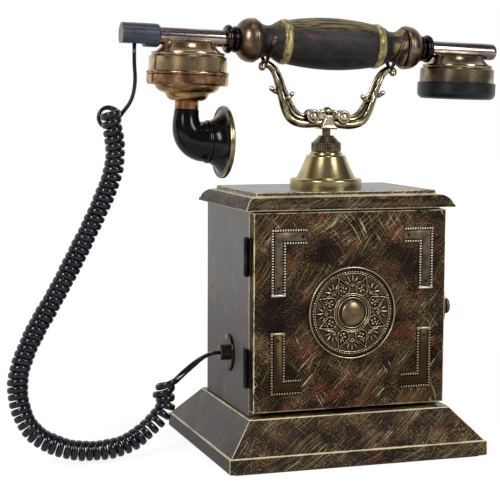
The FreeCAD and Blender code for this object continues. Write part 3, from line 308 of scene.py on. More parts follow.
@dataclass(frozen=True)
class Stroke:
    """Dry-brush strokes of one colour, in patches over a face."""

    colour: str
    angle_deg: float
    length_mm: float
    width_mm: float
    patch_mm: float
    bristle_level: float
    patch_level: float
    strength: float = 1.0
    sway_mm: float = 14.0
    spots: tuple[Spot, ...] = ()
    sway_grain_mm: ClassVar[float] = 60.0
    patch_stretch: ClassVar[float] = 1.6
    patch_soft: ClassVar[Point2] = (0.05, 0.07)
    bristle_soft: ClassVar[Point2] = (0.02, 0.04)

    def mask(self, sheet: ShaderSheet, u: Wire, v: Wire, seed: float) -> Wire:
        """Where the brush left its colour.

        Args:
            sheet: the sheet to draw on.
            u: place across the face, in millimetres.
            v: place up the face, in millimetres.
            seed: which of many like patterns.

        Returns:
            1 under the bristles, 0 between them.
        """
        turn = math.radians(self.angle_deg)
        along = u * math.cos(turn) + v * math.sin(turn)
        across = v * math.cos(turn) - u * math.sin(turn)
        grain = self.sway_grain_mm
        sway = (sheet.noise(u / grain, v / grain, seed + 3.7, 1.0) - 0.5) * self.sway_mm
        across = across + sway
        bristles = sheet.noise(along / self.length_mm, across / self.width_mm, seed, 3.0, 0.62)
        patch_length = self.patch_stretch * self.patch_mm
        patches = sheet.noise(along / patch_length, across / self.patch_mm, seed + 11.3, 2.0)
        low, high = self.patch_soft
        inside = patches.fade(self.patch_level - low, self.patch_level + high)
        for spot in self.spots:
            inside = inside.most(spot.mask(u, v))
        low, high = self.bristle_soft
        return bristles.fade(self.bristle_level - low, self.bristle_level + high) * inside * self.strength


@dataclass(frozen=True)
class WornEdges:
    """Thin uneven lines of gilt where the paint of a board has worn through."""

    form: EdgeForm
    low: Point3
    high: Point3
    heights: tuple[float, ...]
    width_mm: float
    colour: str = "#cabd98"
    fine_mm: ClassVar[float] = 2.6
    coarse_mm: ClassVar[float] = 14.0

    def mask(self, sheet: ShaderSheet) -> Wire:
        """1 on a worn edge, 0 away from it."""
        places = sheet.place()
        across, deep, up = ((place - low).least(high - place)
                            for place, low, high in zip(places, self.low, self.high))
        if self.form is EdgeForm.BOX:
            distance = across.least(deep).most(across.most(deep).least(up))
        else:
            distance = abs(across - deep) * math.sqrt(0.5)
            for height in self.heights:
                distance = distance.least(abs(places[2] - height))
        wear = sheet.cloud(self.fine_mm, 2.0) * 0.6 + sheet.cloud(self.coarse_mm, 1.0) * 0.6
        worn_width = wear * (2.0 * self.width_mm) - 0.35 * self.width_mm
        return (distance / worn_width).fade(1.0, 0.45)


@dataclass(frozen=True)
class BrushedPaint(Finish):
    """Dark lacquer with dry-brushed colour over it and worn gilt edges, and where asked a painted grey sheen
    towards its foot.
    """

    name: str
    ground: tuple[str, str, str, str]
    strokes: tuple[Stroke, ...]
    seed: float
    edges: WornEdges
    roughness: float
    gloss: float = 0.5
    grain_mm: float = 4.0
    bare: tuple[Spot, ...] = ()
    on_sides: float = 1.0
    # strength of a painted grey sheen (painted reflection) towards the foot of the board
    foot_sheen: float = 0.0
    ground_stops: ClassVar[tuple[float, ...]] = (0.39, 0.5, 0.59, 0.68)
    drift_mm: ClassVar[float] = 24.0
    seed_step: ClassVar[float] = 5.9
    bare_share: ClassVar[float] = 0.85
    sheen_heights: ClassVar[Point2] = (150.0, 45.0)
    sheen_gain: ClassVar[float] = 2.2
    sheen_colour: ClassVar[str] = "#6c6868"

    def paint(self, sheet: ShaderSheet) -> None:
        """Lays the ground, then each colour of strokes, then the worn edges, then a painted grey sheen at its
        foot, where the paint is also rougher.
        """
        u, v, side = sheet.face_place()
        drift = sheet.noise(u / self.drift_mm, v / self.drift_mm, self.seed + 2.0, 2.0)
        mottle = sheet.noise(u / self.grain_mm, v / self.grain_mm, self.seed, 4.0, 0.7) + (drift - 0.5) * 0.4
        kept = 1.0 - side * (1.0 - self.on_sides)
        for spot in self.bare:
            kept = kept * (1.0 - spot.mask(u, v) * self.bare_share)
        mottle = mottle - (1.0 - kept) * 0.06
        colour = sheet.tone(mottle, *zip(self.ground_stops, self.ground))
        body = mottle * 0.3
        for number, stroke in enumerate(self.strokes):
            mask = stroke.mask(sheet, u, v, self.seed + self.seed_step * number) * kept
            colour = sheet.blend(mask, colour, ink(stroke.colour))
            body = body.most(mask)
        colour = sheet.blend(self.edges.mask(sheet), colour, ink(self.edges.colour))
        roughness = self.roughness + 0.12 * (mottle - 0.5) + 0.1 * body
        # Painted reflection: grey is blended in towards the foot as a sheen, and the paint is also rougher
        # there.
        if self.foot_sheen:
            sheen = v.fade(*self.sheen_heights) * self.foot_sheen
            colour = sheet.blend(sheen * self.sheen_gain, colour, ink(self.sheen_colour))
            roughness = roughness + sheen
        sheet.surface({"Base Color": colour, "Roughness": roughness,
                       "Specular IOR Level": self.gloss, "Normal": sheet.bump(body, 0.05, 0.4)})


@dataclass(frozen=True)
class GripLacquer(Finish):
    """Near-black lacquer on the turned grip, with rubbed streaks and two gilt bands."""

    name: str
    pivot: Point2
    lean_deg: float
    axis_height: float
    band_at: float
    band_half: float
    lacquer: ClassVar[Tones] = ((0.35, "#131212"), (0.52, "#1e1c1c"), (0.7, "#302c2b"))
    gilt: ClassVar[Tones] = ((0.3, "#5e5232"), (0.5, "#988a58"), (0.7, "#c4b988"))
    smudge: ClassVar[Spot] = Spot(-12.0, 9.0, 16.0, 9.0)
    smudge_colour: ClassVar[str] = "#5c3338"
    rubbed_colour: ClassVar[str] = "#7d7147"
    flare_colour: ClassVar[str] = "#8a7c4e"
    flare_along: ClassVar[Point2] = (42.0, 49.0)
    grip_r: ClassVar[float] = 18.0

    def paint(self, sheet: ShaderSheet) -> None:
        """Lays the lacquer, streaks along the grip, and the bands."""
        x, y, z = sheet.place()
        turn = math.radians(self.lean_deg)
        out = x - self.pivot[0]
        rise = z - self.pivot[1]
        along = out * math.cos(turn) - rise * math.sin(turn)
        above = out * math.sin(turn) + rise * math.cos(turn) - self.axis_height

        def streaks(length: float, width: float, shift: float, detail: float, rough: float = 0.5) -> Wire:
            """Noise drawn out along the grip."""
            return sheet.noise(along / length, y / width, above / width + shift, detail, rough)

        mottle = streaks(9.0, 4.0, 0.0, 4.0, 0.65)
        colour = sheet.tone(mottle, *self.lacquer)
        smudged = self.smudge.mask(along, above) * 0.65 + 0.05
        warm = streaks(15.0, 2.2, 9.0, 3.0).fade(0.46, 0.66)
        colour = sheet.blend(warm * smudged, colour, ink(self.smudge_colour))
        rubbed = streaks(20.0, 1.6, 21.0, 3.0, 0.6).fade(0.38, 0.56)
        on_top = (above / self.grip_r).fade(0.3, 0.85)
        colour = sheet.blend(rubbed * on_top * 0.9, colour, ink(self.rubbed_colour))
        wavy = streaks(6.0, 5.0, 0.0, 2.0) * 2.4 - 1.2
        band = (abs(abs(along) - self.band_at) + wavy).fade(self.band_half + 0.5, self.band_half - 0.4)
        gilding = sheet.tone(streaks(3.0, 5.0, 40.0, 3.0), *self.gilt)
        flare = streaks(14.0, 6.0, 60.0, 3.0).fade(0.42, 0.62)
        colour = sheet.blend(flare * along.fade(*self.flare_along) * 0.85, colour, ink(self.flare_colour))
        colour = sheet.blend(band, colour, gilding)
        sheet.surface({"Base Color": colour, "Roughness": 0.5 + 0.2 * (mottle - 0.5) - band * 0.14,
                       "Metallic": band * 0.5, "Specular IOR Level": 0.28,
                       "Normal": sheet.bump(mottle, 0.12, 0.6)})


@dataclass(frozen=True)
class AgedMetal(Finish):
    """Plated or cast metal with tarnish clouds, painted shade low on some pieces, and dark hollows where it
    is modelled, which on undersides are also painted shade.
    """

    name: str
    bright: str
    dull: str
    roughness: float
    cloud_mm: float
    relief: Relief = Relief.PLAIN
    hollow: str = "#120e0b"
    ridge: str = "#cdbf9c"
    dent_mm: float = 0.02
    # colour of painted shade low on the piece
    low_shade: str = ""
    tarnish_levels: ClassVar[Point2] = (0.36, 0.66)
    low_shade_heights: ClassVar[Point2] = (118.0, 95.0)
    low_shade_share: ClassVar[float] = 0.9
    hollow_levels: ClassVar[Point2] = (0.5, 0.26)
    ridge_levels: ClassVar[Point2] = (0.62, 0.9)
    grain_mm: ClassVar[float] = 0.7

    def paint(self, sheet: ShaderSheet) -> None:
        """Lays tarnish over the metal and painted shade low on it, then the darkened hollows, with painted
        shade on undersides, and rubbed ridges.
        """
        tarnish = sheet.cloud(self.cloud_mm, 4.0)
        colour = sheet.blend(tarnish.fade(*self.tarnish_levels), ink(self.dull), ink(self.bright))
        roughness = self.roughness + 0.16 * (0.5 - tarnish)
        # Painted shade: lower down, the colour darkens towards the low colour.
        if self.low_shade:
            low = sheet.place()[2].fade(*self.low_shade_heights) * self.low_shade_share
            colour = sheet.blend(low, colour, ink(self.low_shade))
        if self.relief is Relief.MODELLED:
            height = sheet.node("ShaderNodeAttribute", {"attribute_name": "relief"}, output="Fac")
            # The hollow colour is patina in the hollows, and on undersides painted shade written by
            # mark_relief.
            colour = sheet.blend(height.fade(*self.hollow_levels), colour, ink(self.hollow))
            colour = sheet.blend(height.fade(*self.ridge_levels), colour, ink(self.ridge))
            roughness = roughness + 0.35 * height.fade(0.5, 0.3)
        grain = sheet.cloud(self.grain_mm, 2.0)
        sheet.surface({"Base Color": colour, "Metallic": 1.0, "Roughness": roughness,
                       "Normal": sheet.bump(grain, self.dent_mm, 0.5)})


@dataclass(frozen=True)
class Moulded(Finish):
    """Moulded or painted material with faint clouds, dust and grain."""

    name: str
    colour: str
    bloom: str
    roughness: float
    grain_mm: float = 0.6
    grain_depth_mm: float = 0.02
    cloud_mm: float = 12.0
    gloss: float = 0.5

    def paint(self, sheet: ShaderSheet) -> None:
        """Lays the colour, a bloom of handling on it, and a fine grain."""
        cloud = sheet.cloud(self.cloud_mm, 4.0)
        colour = sheet.blend(cloud.fade(0.42, 0.75), ink(self.colour), ink(self.bloom))
        grain = sheet.bump(sheet.cloud(self.grain_mm, 2.0), self.grain_depth_mm, 0.5)
        sheet.surface({"Base Color": colour, "Roughness": self.roughness + 0.15 * (cloud - 0.5),
                       "Specular IOR Level": self.gloss, "Normal": grain})


@dataclass(frozen=True)
class Felt(Finish):
    """Pressed wool with loose fibres."""

    name: str
    colour: str
    fibre: str
    fibre_length_mm: float = 2.4
    fibre_width_mm: float = 0.35

    def paint(self, sheet: ShaderSheet) -> None:
        """Lays matted fibres in two directions over the cloth's colour."""
        x, y, _ = sheet.place()
        first = sheet.noise(x / self.fibre_length_mm, y / self.fibre_width_mm, 1.0, 3.0, 0.7)
        second = sheet.noise(x / self.fibre_width_mm, y / self.fibre_length_mm, 7.0, 3.0, 0.7)
        fibres = first.most(second)
        colour = sheet.blend(fibres.fade(0.5, 0.72), ink(self.colour), ink(self.fibre))
        sheet.surface({"Base Color": colour, "Roughness": 0.95, "Normal": sheet.bump(fibres, 0.25, 0.8)})


@dataclass(frozen=True)
class Winding(Finish):
    """Enamelled wire wound side by side around an upright coil."""

    name: str
    colour: str
    gap: str
    wire_mm: float = 0.5

    def paint(self, sheet: ShaderSheet) -> None:
        """Lays one ridge for each turn of the wire."""
        _, _, z = sheet.place()
        ridge = (z * (math.tau / self.wire_mm)).sine() * 0.5 + 0.5
        colour = sheet.blend(ridge.fade(0.1, 0.6), ink(self.gap), ink(self.colour))
        sheet.surface({"Base Color": colour, "Metallic": 0.8, "Roughness": 0.35,
                       "Normal": sheet.bump(ridge, 0.15, 0.8)})


@dataclass(frozen=True)
class PrintedBoard(Finish):
    """Laminate under green resist, with paths that show through it."""

    name: str
    resist: str
    path: str
    pitch_mm: float = 3.2
    patch_mm: float = 11.0

    def paint(self, sheet: ShaderSheet) -> None:
        """Lays level and upright paths in patches."""
        u, v, _ = sheet.face_place()
        patch = sheet.noise(u / self.patch_mm, v / self.patch_mm, 2.0, 1.0).fade(0.49, 0.51)
        lines = v + (u - v) * patch
        path = (lines * (math.tau / self.pitch_mm)).sine().fade(0.45, 0.6)
        colour = sheet.blend(path, ink(self.resist), ink(self.path))
        sheet.surface({"Base Color": colour, "Roughness": 0.32, "Normal": sheet.bump(path, 0.04, 0.6)})


BRASS = AgedMetal("polished_antique_brass", "#c8b98c", "#a69669", 0.25, 22.0, dent_mm=0.004)
CASE_BRASS = AgedMetal("brown_antique_brass", "#dcc294", "#998068", 0.22, 11.0)
CAP_BRASS = AgedMetal("dark_case_brass", "#aa9b7c", "#685b4a", 0.22, 12.0)
DARK_BRASS = AgedMetal("handled_antique_brass", "#a89c7c", "#74674e", 0.24, 12.0)
RING_COPPER = AgedMetal("worn_copper", "#c69b71", "#7c5b49", 0.24, 7.0)
COVER_BRONZE = AgedMetal("golden_bronze", "#cca468", "#907047", 0.25, 10.0)
COPPER = AgedMetal("antique_copper", "#b88658", "#7e573a", 0.24, 12.0)
DARK_COPPER = AgedMetal("dark_copper", "#8c7560", "#54473b", 0.32, 9.0)
BRONZE = AgedMetal("dark_bronze", "#8f7a65", "#615145", 0.34, 6.0)
CAST_BRASS = AgedMetal("cast_yoke_brass", "#b0a482", "#70644c", 0.24, 6.0, relief=Relief.MODELLED,
                       hollow="#16100c", ridge="#e6ddc4")
SHIELD_BRASS = AgedMetal("worn_shield_brass", "#dcd2b8", "#b3a688", 0.28, 5.0)
FORK_COPPER = AgedMetal("fork_copper", "#8e6a52", "#5a4034", 0.2, 8.0)
CAST_BRONZE = AgedMetal("cast_medallion_bronze", "#655642", "#463a2e", 0.28, 8.0, relief=Relief.MODELLED,
                        ridge="#c4b292")
BOSS_BRONZE = AgedMetal("medallion_boss_bronze", "#a08d6d", "#77664c", 0.34, 8.0)
# The lower corner plates darken by painted shade.
PLATE_BRONZE = AgedMetal("plate_bronze", "#7e6d5a", "#594b3d", 0.4, 5.0, dent_mm=0.06, low_shade="#3e2f1c")
# Bead colour painted near white as a highlight; the lower beads are darker by painted shade.
BEAD_HIGHLIGHT_BRONZE = AgedMetal("bead_bronze_painted_highlight", "#fff9ee", "#ece3d2", 0.36, 4.0, low_shade="#c4b494")
# Near-black strips under the corner-plate beads: painted shade under and between them.
BEAD_SHADE_BRONZE = AgedMetal("bead_shade_bronze", "#1d1712", "#14100c", 0.5, 4.0)
DARK_CHROME = AgedMetal("dark_chrome", "#bdb0aa", "#857a76", 0.14, 16.0)
BLACK_CHROME = AgedMetal("black_chrome", "#453c38", "#282322", 0.18, 12.0)
STEEL = AgedMetal("bright_steel", "#b4b4b2", "#8d8d8c", 0.28, 9.0)
BLACKED = AgedMetal("blackened_metal", "#3a3632", "#221f1d", 0.42, 7.0)
BAKELITE = Moulded("gloss_bakelite", "#07070a", "#0e0e12", 0.15, gloss=0.3)
EAR_CAP = Moulded("satin_ear_cap", "#0e0e11", "#17171b", 0.36, 0.5, 0.03, gloss=0.3)
PLUG = Moulded("slate_plug", "#272c36", "#363d4a", 0.28)
CORD_SKIN = Moulded("cord_skin", "#101219", "#171a22", 0.14, 0.5, 0.01, gloss=0.5)
ENAMEL = Moulded("ivory_enamel", "#e6dec2", "#d3c7a2", 0.18, 1.2, 0.01)
FIGURES = Moulded("dial_figures", "#101010", "#1e1e1e", 0.4)
CRACKLE = Moulded("crackle_lacquer", "#15120f", "#2c251e", 0.5, 1.4, 0.18, 5.0)
FELT = Felt("pressed_felt", "#14211a", "#2b4034")
COIL_WIRE = Winding("coil_wire", "#9a5a2c", "#3a1f10")
BOARD = PrintedBoard("printed_board", "#123a22", "#2a6a3c")


def dress(finish: Finish, *nodes: str) -> None:
    """Puts a finish on nodes of the frame.

    Args:
        finish: what they are finished in.
        nodes: their names.
    """
    for node in nodes:
        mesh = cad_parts[node].data
        mesh.materials.clear()
        mesh.materials.append(finish.material())
        LOG.info("%s in %s", node, finish.name)


def box_mm(node: str) -> tuple[Point3, Point3]:
    """Lowest and highest corner of a node, in millimetres."""
    low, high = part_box(node)
    return tuple(value / MM for value in low), tuple(value / MM for value in high)


def around(count: int) -> list[float]:
    """Evenly spaced angles around a circle, from zero."""
    return [math.tau * i / count for i in range(count)]


def show(name: str, data: bpy.types.ID) -> bpy.types.Object:
    """A new object in the scene.

    Args:
        name: its name.
        data: the mesh, lamp or lens that it holds.

    Returns:
        The object.
    """
    shown = bpy.data.objects.new(name, data)
    bpy.context.scene.collection.objects.link(shown)
    return shown


def drawn(curve: bpy.types.Curve) -> tuple[list[Vector], list[tuple[int, ...]]]:
    """Points and faces of a curve or a text, which is removed once it is read."""
    holder = bpy.data.objects.new(curve.name, curve)
    mesh = bpy.data.meshes.new_from_object(holder)
    points = [vertex.co.copy() for vertex in mesh.vertices]
    faces = [tuple(face.vertices) for face in mesh.polygons]
    bpy.data.objects.remove(holder)
    bpy.data.curves.remove(curve)
    bpy.data.meshes.remove(mesh)
    return points, faces


def smooth_line(points: Sequence[Vector], steps: int = 12) -> list[Vector]:
    """Points along one smooth curve that has the given points as its control points.

    Args:
        points: the route.
        steps: points read for each run of the route.

    Returns:
        The curve's points, from the route's start to its end.
    """
    curve = bpy.data.curves.new("route", "CURVE")
    curve.dimensions = "3D"
    curve.resolution_u = steps
    spline = curve.splines.new("NURBS")
    spline.points.add(len(points) - 1)
    for knot, point in zip(spline.points, points):
        knot.co = (*point, 1.0)
    spline.order_u = 3
    spline.use_endpoint_u = True
    line, _ = drawn(curve)
    return line


def headings(line: Sequence[Vector]) -> list[Vector]:
    """Direction of a line at each of its points."""
    last = len(line) - 1
    return [(line[min(i + 1, last)] - line[max(i - 1, 0)]).normalized() for i in range(len(line))]


def carried_sides(line: Sequence[Vector], first: Vector) -> list[Vector]:
    """A side direction carried along a line without twist.

    Args:
        line: the points.
        first: a direction that the first side is near.

    Returns:
        One unit vector across the line at each point.
    """
    sides = []
    side = first
    for way in headings(line):
        side = (side - way * side.dot(way)).normalized()
        sides.append(side)
    return sides


class Draft:
    """Points and faces of one piece, gathered from several forms, in millimetres."""

    least_inward: ClassVar[float] = 0.2

    def __init__(self) -> None:
        """Starts with nothing drawn."""
        self.points: list[Vector] = []
        self.faces: list[tuple[int, ...]] = []

    def rings(self, rows: Sequence[Sequence[Vector]]) -> None:
        """Joins rings of equally many points into a skin, closed with a face at both ends.

        Args:
            rows: the rings, in order.
        """
        start = len(self.points)
        count = len(rows[0])
        for row in rows:
            self.points.extend(row)
        for low in range(len(rows) - 1):
            for i in range(count):
                after = (i + 1) % count
                a, b = start + low * count, start + (low + 1) * count
                self.faces.append((a + i, a + after, b + after, b + i))
        end = start + (len(rows) - 1) * count
        self.faces.append(tuple(start + i for i in reversed(range(count))))
        self.faces.append(tuple(end + i for i in range(count)))

    def rod(self, line: Sequence[Vector], radii: Sequence[float], side: Vector = Vector((0, 1, 0)),
            squash: float = 1.0, count: int = 16) -> None:
        """A rod along a line.

        Args:
            line: the points it follows.
            radii: its radius at evenly spaced shares of the line.
            side: the direction that squash acts across from.
            squash: its thickness across side, as a share of its width along side.
            count: points around it.
        """
        rows = []
        last = len(line) - 1
        for i, (point, way, wide) in enumerate(zip(line, headings(line), carried_sides(line, side))):
            share = i / last * (len(radii) - 1)
            low = min(int(share), len(radii) - 2)
            radius = radii[low] + (radii[low + 1] - radii[low]) * (share - low)
            thin = way.cross(wide) * squash
            rows.append([point + (wide * math.cos(a) + thin * math.sin(a)) * radius for a in around(count)])
        self.rings(rows)

    def ball(self, place: Vector, radius: float, scale: Point3 = (1, 1, 1), count: int = 14) -> None:
        """A ball, or an egg where scale differs by axis."""
        rows = []
        sx, sy, sz = scale
        for k in range(1, count):
            height = -math.cos(math.pi * k / count)
            ring = math.sin(math.pi * k / count)
            rows.append([place + radius * Vector((ring * math.cos(a) * sx, ring * math.sin(a) * sy,
                                                  height * sz)) for a in around(2 * count)])
        self.rings(rows)

    def slab(self, outline: Sequence[Point2], back_y: float, front_y: float, edge: float = 0.0) -> None:
        """A flat piece drawn in the front view, with its front edge drawn in by edge.

        Args:
            outline: corners as x and z, anticlockwise seen from the front.
            back_y: depth of its back.
            front_y: depth of its face.
            edge: width of the bevel around its face.
        """
        count = len(outline)
        inner = []
        for i in range(count):
            corner = Vector(outline[i])
            before = (corner - Vector(outline[i - 1])).normalized()
            after = (Vector(outline[(i + 1) % count]) - corner).normalized()
            inward = Vector((-before.y, before.x)) + Vector((-after.y, after.x))
            depth = max(inward.dot(Vector((-after.y, after.x))), self.least_inward)
            inner.append(corner + inward * (edge / depth))
        rows = [[Vector((x, back_y, z)) for x, z in outline]]
        rows.append([Vector((x, front_y + edge, z)) for x, z in outline])
        rows.append([Vector((corner.x, front_y, corner.y)) for corner in inner])
        self.rings(rows)

    def moved(self, move: Callable[[Vector], Vector]) -> "Draft":
        """The same forms with every point moved."""
        other = Draft()
        other.points = [move(point) for point in self.points]
        other.faces = list(self.faces)
        return other

    def add(self, other: "Draft") -> None:
        """Takes in the forms of another draft."""
        start = len(self.points)
        self.points.extend(other.points)
        self.faces.extend(tuple(start + i for i in face) for face in other.faces)

    def piece(self, name: str) -> bpy.types.Object:
        """The drawn forms as one smooth mesh object."""
        mesh = bpy.data.meshes.new(name)
        mesh.from_pydata([point * MM for point in self.points], [], self.faces)
        shaped = bmesh.new()
        shaped.from_mesh(mesh)
        bmesh.ops.recalc_face_normals(shaped, faces=shaped.faces)
        shaped.to_mesh(mesh)
        shaped.free()
        mesh.polygons.foreach_set("use_smooth", [True] * len(mesh.polygons))
        return show(name, mesh)


def cast_together(piece: bpy.types.Object, grain_mm: float, rounds: int) -> None:
    """Melts the overlapping forms of a piece into one skin with soft inner corners.

    Args:
        piece: the mesh, changed in place.
        grain_mm: size of the new faces.
        rounds: how often the skin is smoothed.
    """
    melt = piece.modifiers.new("melt", "REMESH")
    melt.mode = "VOXEL"
    melt.voxel_size = grain_mm * MM
    melt.use_smooth_shade = True
    soften = piece.modifiers.new("soften", "SMOOTH")
    soften.factor = 0.5
    soften.iterations = rounds
    bpy.context.view_layer.update()
    shaped = piece.evaluated_get(bpy.context.evaluated_depsgraph_get())
    mesh = bpy.data.meshes.new_from_object(shaped)
    piece.modifiers.clear()
    piece.data = mesh


def mark_relief(piece: bpy.types.Object, rounds: int, gain: float, under: float = 0.0) -> None:
    """Writes how far each point stands out from its neighbours, for the hollows and ridges of a casting, with
    painted shade on surfaces that face down.

    Args:
        piece: the mesh to mark.
        rounds: how far the marks spread.
        gain: how strongly they show.
        under: painted shade on surfaces that face down, which count that much deeper and so take the hollow
            colour.
    """
    mesh = piece.data
    count = len(mesh.vertices)
    ends = np.empty(len(mesh.edges) * 2, np.int32)
    mesh.edges.foreach_get("vertices", ends)
    ends = ends.reshape(-1, 2)
    places = np.empty(count * 3)
    mesh.vertices.foreach_get("co", places)
    places = places.reshape(-1, 3)
    normals = np.empty(count * 3)
    mesh.vertices.foreach_get("normal", normals)
    normals = normals.reshape(-1, 3)
    links = np.bincount(ends.ravel(), minlength=count).clip(1)

    def neighbour_mean(values: np.ndarray) -> np.ndarray:
        """Mean of each point's neighbours."""
        total = np.zeros_like(values)
        np.add.at(total, ends[:, 0], values[ends[:, 1]])
        np.add.at(total, ends[:, 1], values[ends[:, 0]])
        return total / (links[:, None] if values.ndim == 2 else links)

    soft = places
    for _ in range(rounds):
        soft = neighbour_mean(soft)
    stands = ((places - soft) * normals).sum(axis=1)
    # Painted shade: points that face down are pushed towards the hollow colour.
    relief = (0.5 + gain * stands / MM - under * (-normals[:, 2]).clip(0, 1)).clip(0, 1)
    mesh.attributes.new("relief", "FLOAT", "POINT").data.foreach_set("value", relief.astype(np.float32))


def add_piece(piece: bpy.types.Object, body: Body, slot: str, finish: Finish, *nodes: str) -> None:
    """Gives a new piece its finish and its body, and hides the nodes of the frame that it stands for.

    Args:
        piece: the new mesh object.
        body: what it moves with.
        slot: not used.
        finish: its material.
        nodes: nodes of the frame that it replaces.
    """
    piece.data.materials.clear()
    piece.data.materials.append(finish.material())
    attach(piece, body.value)
    if nodes:
        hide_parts(*nodes)
    LOG.info("%s on %s in %s", piece.name, body.value, finish.name)


@dataclass(frozen=True)
class Softbox:
    """A lamp behind cloth, aimed at the middle of the object."""

    name: str
    azimuth_deg: float
    elevation_deg: float
    distance_m: float
    width_m: float
    height_m: float
    brightness: float

    def hang(self, aim: Vector) -> None:
        """Adds the lamp, seen at its brightness in a mirror."""
        azimuth = math.radians(self.azimuth_deg)
        elevation = math.radians(self.elevation_deg)
        level = math.cos(elevation)
        way = Vector((math.sin(azimuth) * level, -math.cos(azimuth) * level, math.sin(elevation)))
        lamp = bpy.data.lights.new(self.name, "AREA")
        lamp.shape = "RECTANGLE"
        lamp.size = self.width_m
        lamp.size_y = self.height_m
        lamp.energy = self.brightness * math.pi * self.width_m * self.height_m
        holder = show(self.name, lamp)
        holder.location = aim + way * self.distance_m
        holder.rotation_euler = way.to_track_quat("Z", "Y").to_euler()


@dataclass
class Studio:
    """Camera, lamps, white surround and pale floor."""

    image_px: float = 500.0
    focal_px: float = 1445.86
    sensor_mm: float = 36.0
    camera_mm: Point3 = (-370.27, -958.86, 248.30)
    turn_deg: float = 18.204
    tilt_deg: float = 6.083
    roll_deg: float = 0.237
    view_end_m: float = 20.0
    aim_m: Point3 = (0.0, 0.0, 0.15)
    room_fade: Point2 = (-0.3, 0.5)
    room_dark: float = 0.1
    room_gain: float = 0.9
    surround_level: float = 0.42
    floor_half_m: float = 4.0
    floor_colour: str = "#f2f2f0"
    floor_glow: float = 1.16
    mirrored_fade_m: Point2 = (0.35, 0.9)
    mirrored_near: float = 0.5
    mirrored_gain: float = 0.45
    shadow_fade_m: Point2 = (0.3, 1.0)
    shadow_near: float = 0.74
    shadow_gain: float = 0.26
    boxes: tuple[Softbox, ...] = (
        Softbox("left_softbox", -51.0, 28.0, 1.6, 0.38, 0.75, 12.5),
        Softbox("right_softbox", 27.0, 28.0, 1.6, 0.38, 0.75, 12.5),
        Softbox("top_softbox", 10.0, 74.0, 1.5, 0.3, 0.3, 7.0),
    )

    def build(self) -> None:
        """Sets up the whole studio."""
        bpy.context.scene.view_settings.view_transform = "Standard"
        self.set_camera()
        self.set_surround()
        self.lay_floor()
        for softbox in self.boxes:
            softbox.hang(Vector(self.aim_m))

    def set_camera(self) -> None:
        """Puts the camera where the photograph was taken from."""
        turn, tilt, roll = (math.radians(angle) for angle in (self.turn_deg, self.tilt_deg, self.roll_deg))
        ahead = Vector((math.sin(turn) * math.cos(tilt), math.cos(turn) * math.cos(tilt), -math.sin(tilt)))
        level = Vector((math.cos(turn), -math.sin(turn), 0.0))
        upright = level.cross(ahead)
        right = level * math.cos(roll) + upright * math.sin(roll)
        up = upright * math.cos(roll) - level * math.sin(roll)
        lens = bpy.data.cameras.new("camera")
        lens.sensor_width = self.sensor_mm
        lens.lens = self.focal_px / self.image_px * self.sensor_mm
        lens.clip_end = self.view_end_m
        camera = show("camera", lens)
        facing = Matrix((right, up, -ahead)).transposed().to_4x4()
        camera.matrix_world = Matrix.Translation(Vector(self.camera_mm) * MM) @ facing
        bpy.context.scene.camera = camera

    def set_surround(self) -> None:
        """White around the object, dark in front of it where metal would mirror an unlit room."""
        world = bpy.data.worlds.new("surround")
        world.use_nodes = True
        bpy.context.scene.world = world
        sheet = ShaderSheet(world.node_tree)
        seen, mirrored = sheet.rays()
        _, back, up = sheet.split(sheet.node("ShaderNodeTexCoord", output="Generated"))
        room = (back - up * 0.3).fade(*self.room_fade) * self.room_gain + self.room_dark
        level = mirrored * (room - self.surround_level) + self.surround_level
        level = level + seen * (1.0 - level)
        shade = sheet.node("ShaderNodeBackground", inputs={"Color": level})
        sheet.node_end(shade, "ShaderNodeOutputWorld")

    def lay_floor(self) -> None:
        """A pale floor that keeps the object's shadow."""
        half = self.floor_half_m
        mesh = bpy.data.meshes.new("floor")
        corners = [(-half, -half, 0), (half, -half, 0), (half, half, 0), (-half, half, 0)]
        mesh.from_pydata(corners, [], [(0, 1, 2, 3)])
        floor = show("floor", mesh)
        material = bpy.data.materials.new("pale_floor")
        material.use_nodes = True
        sheet = ShaderSheet(material.node_tree)
        seen, mirrored = sheet.rays()
        cloth = sheet.node("ShaderNodeBsdfDiffuse", inputs={"Color": ink(self.floor_colour)})
        place = sheet.node("ShaderNodeTexCoord", output="Object")
        away = sheet.node("ShaderNodeVectorMath", {"operation": "LENGTH"}, {0: place}, output="Value")
        reflected = away.fade(*self.mirrored_fade_m) * self.mirrored_gain + self.mirrored_near
        light = seen * self.floor_glow + mirrored * reflected
        glow = sheet.node("ShaderNodeEmission", inputs={"Color": light})
        lit = away.fade(*self.shadow_fade_m) * self.shadow_gain + self.shadow_near
        share = seen * lit + mirrored
        sheet.node_end(sheet.node("ShaderNodeMixShader", inputs={0: share.least(1.0), 1: cloth, 2: glow}))
        mesh.materials.append(material)


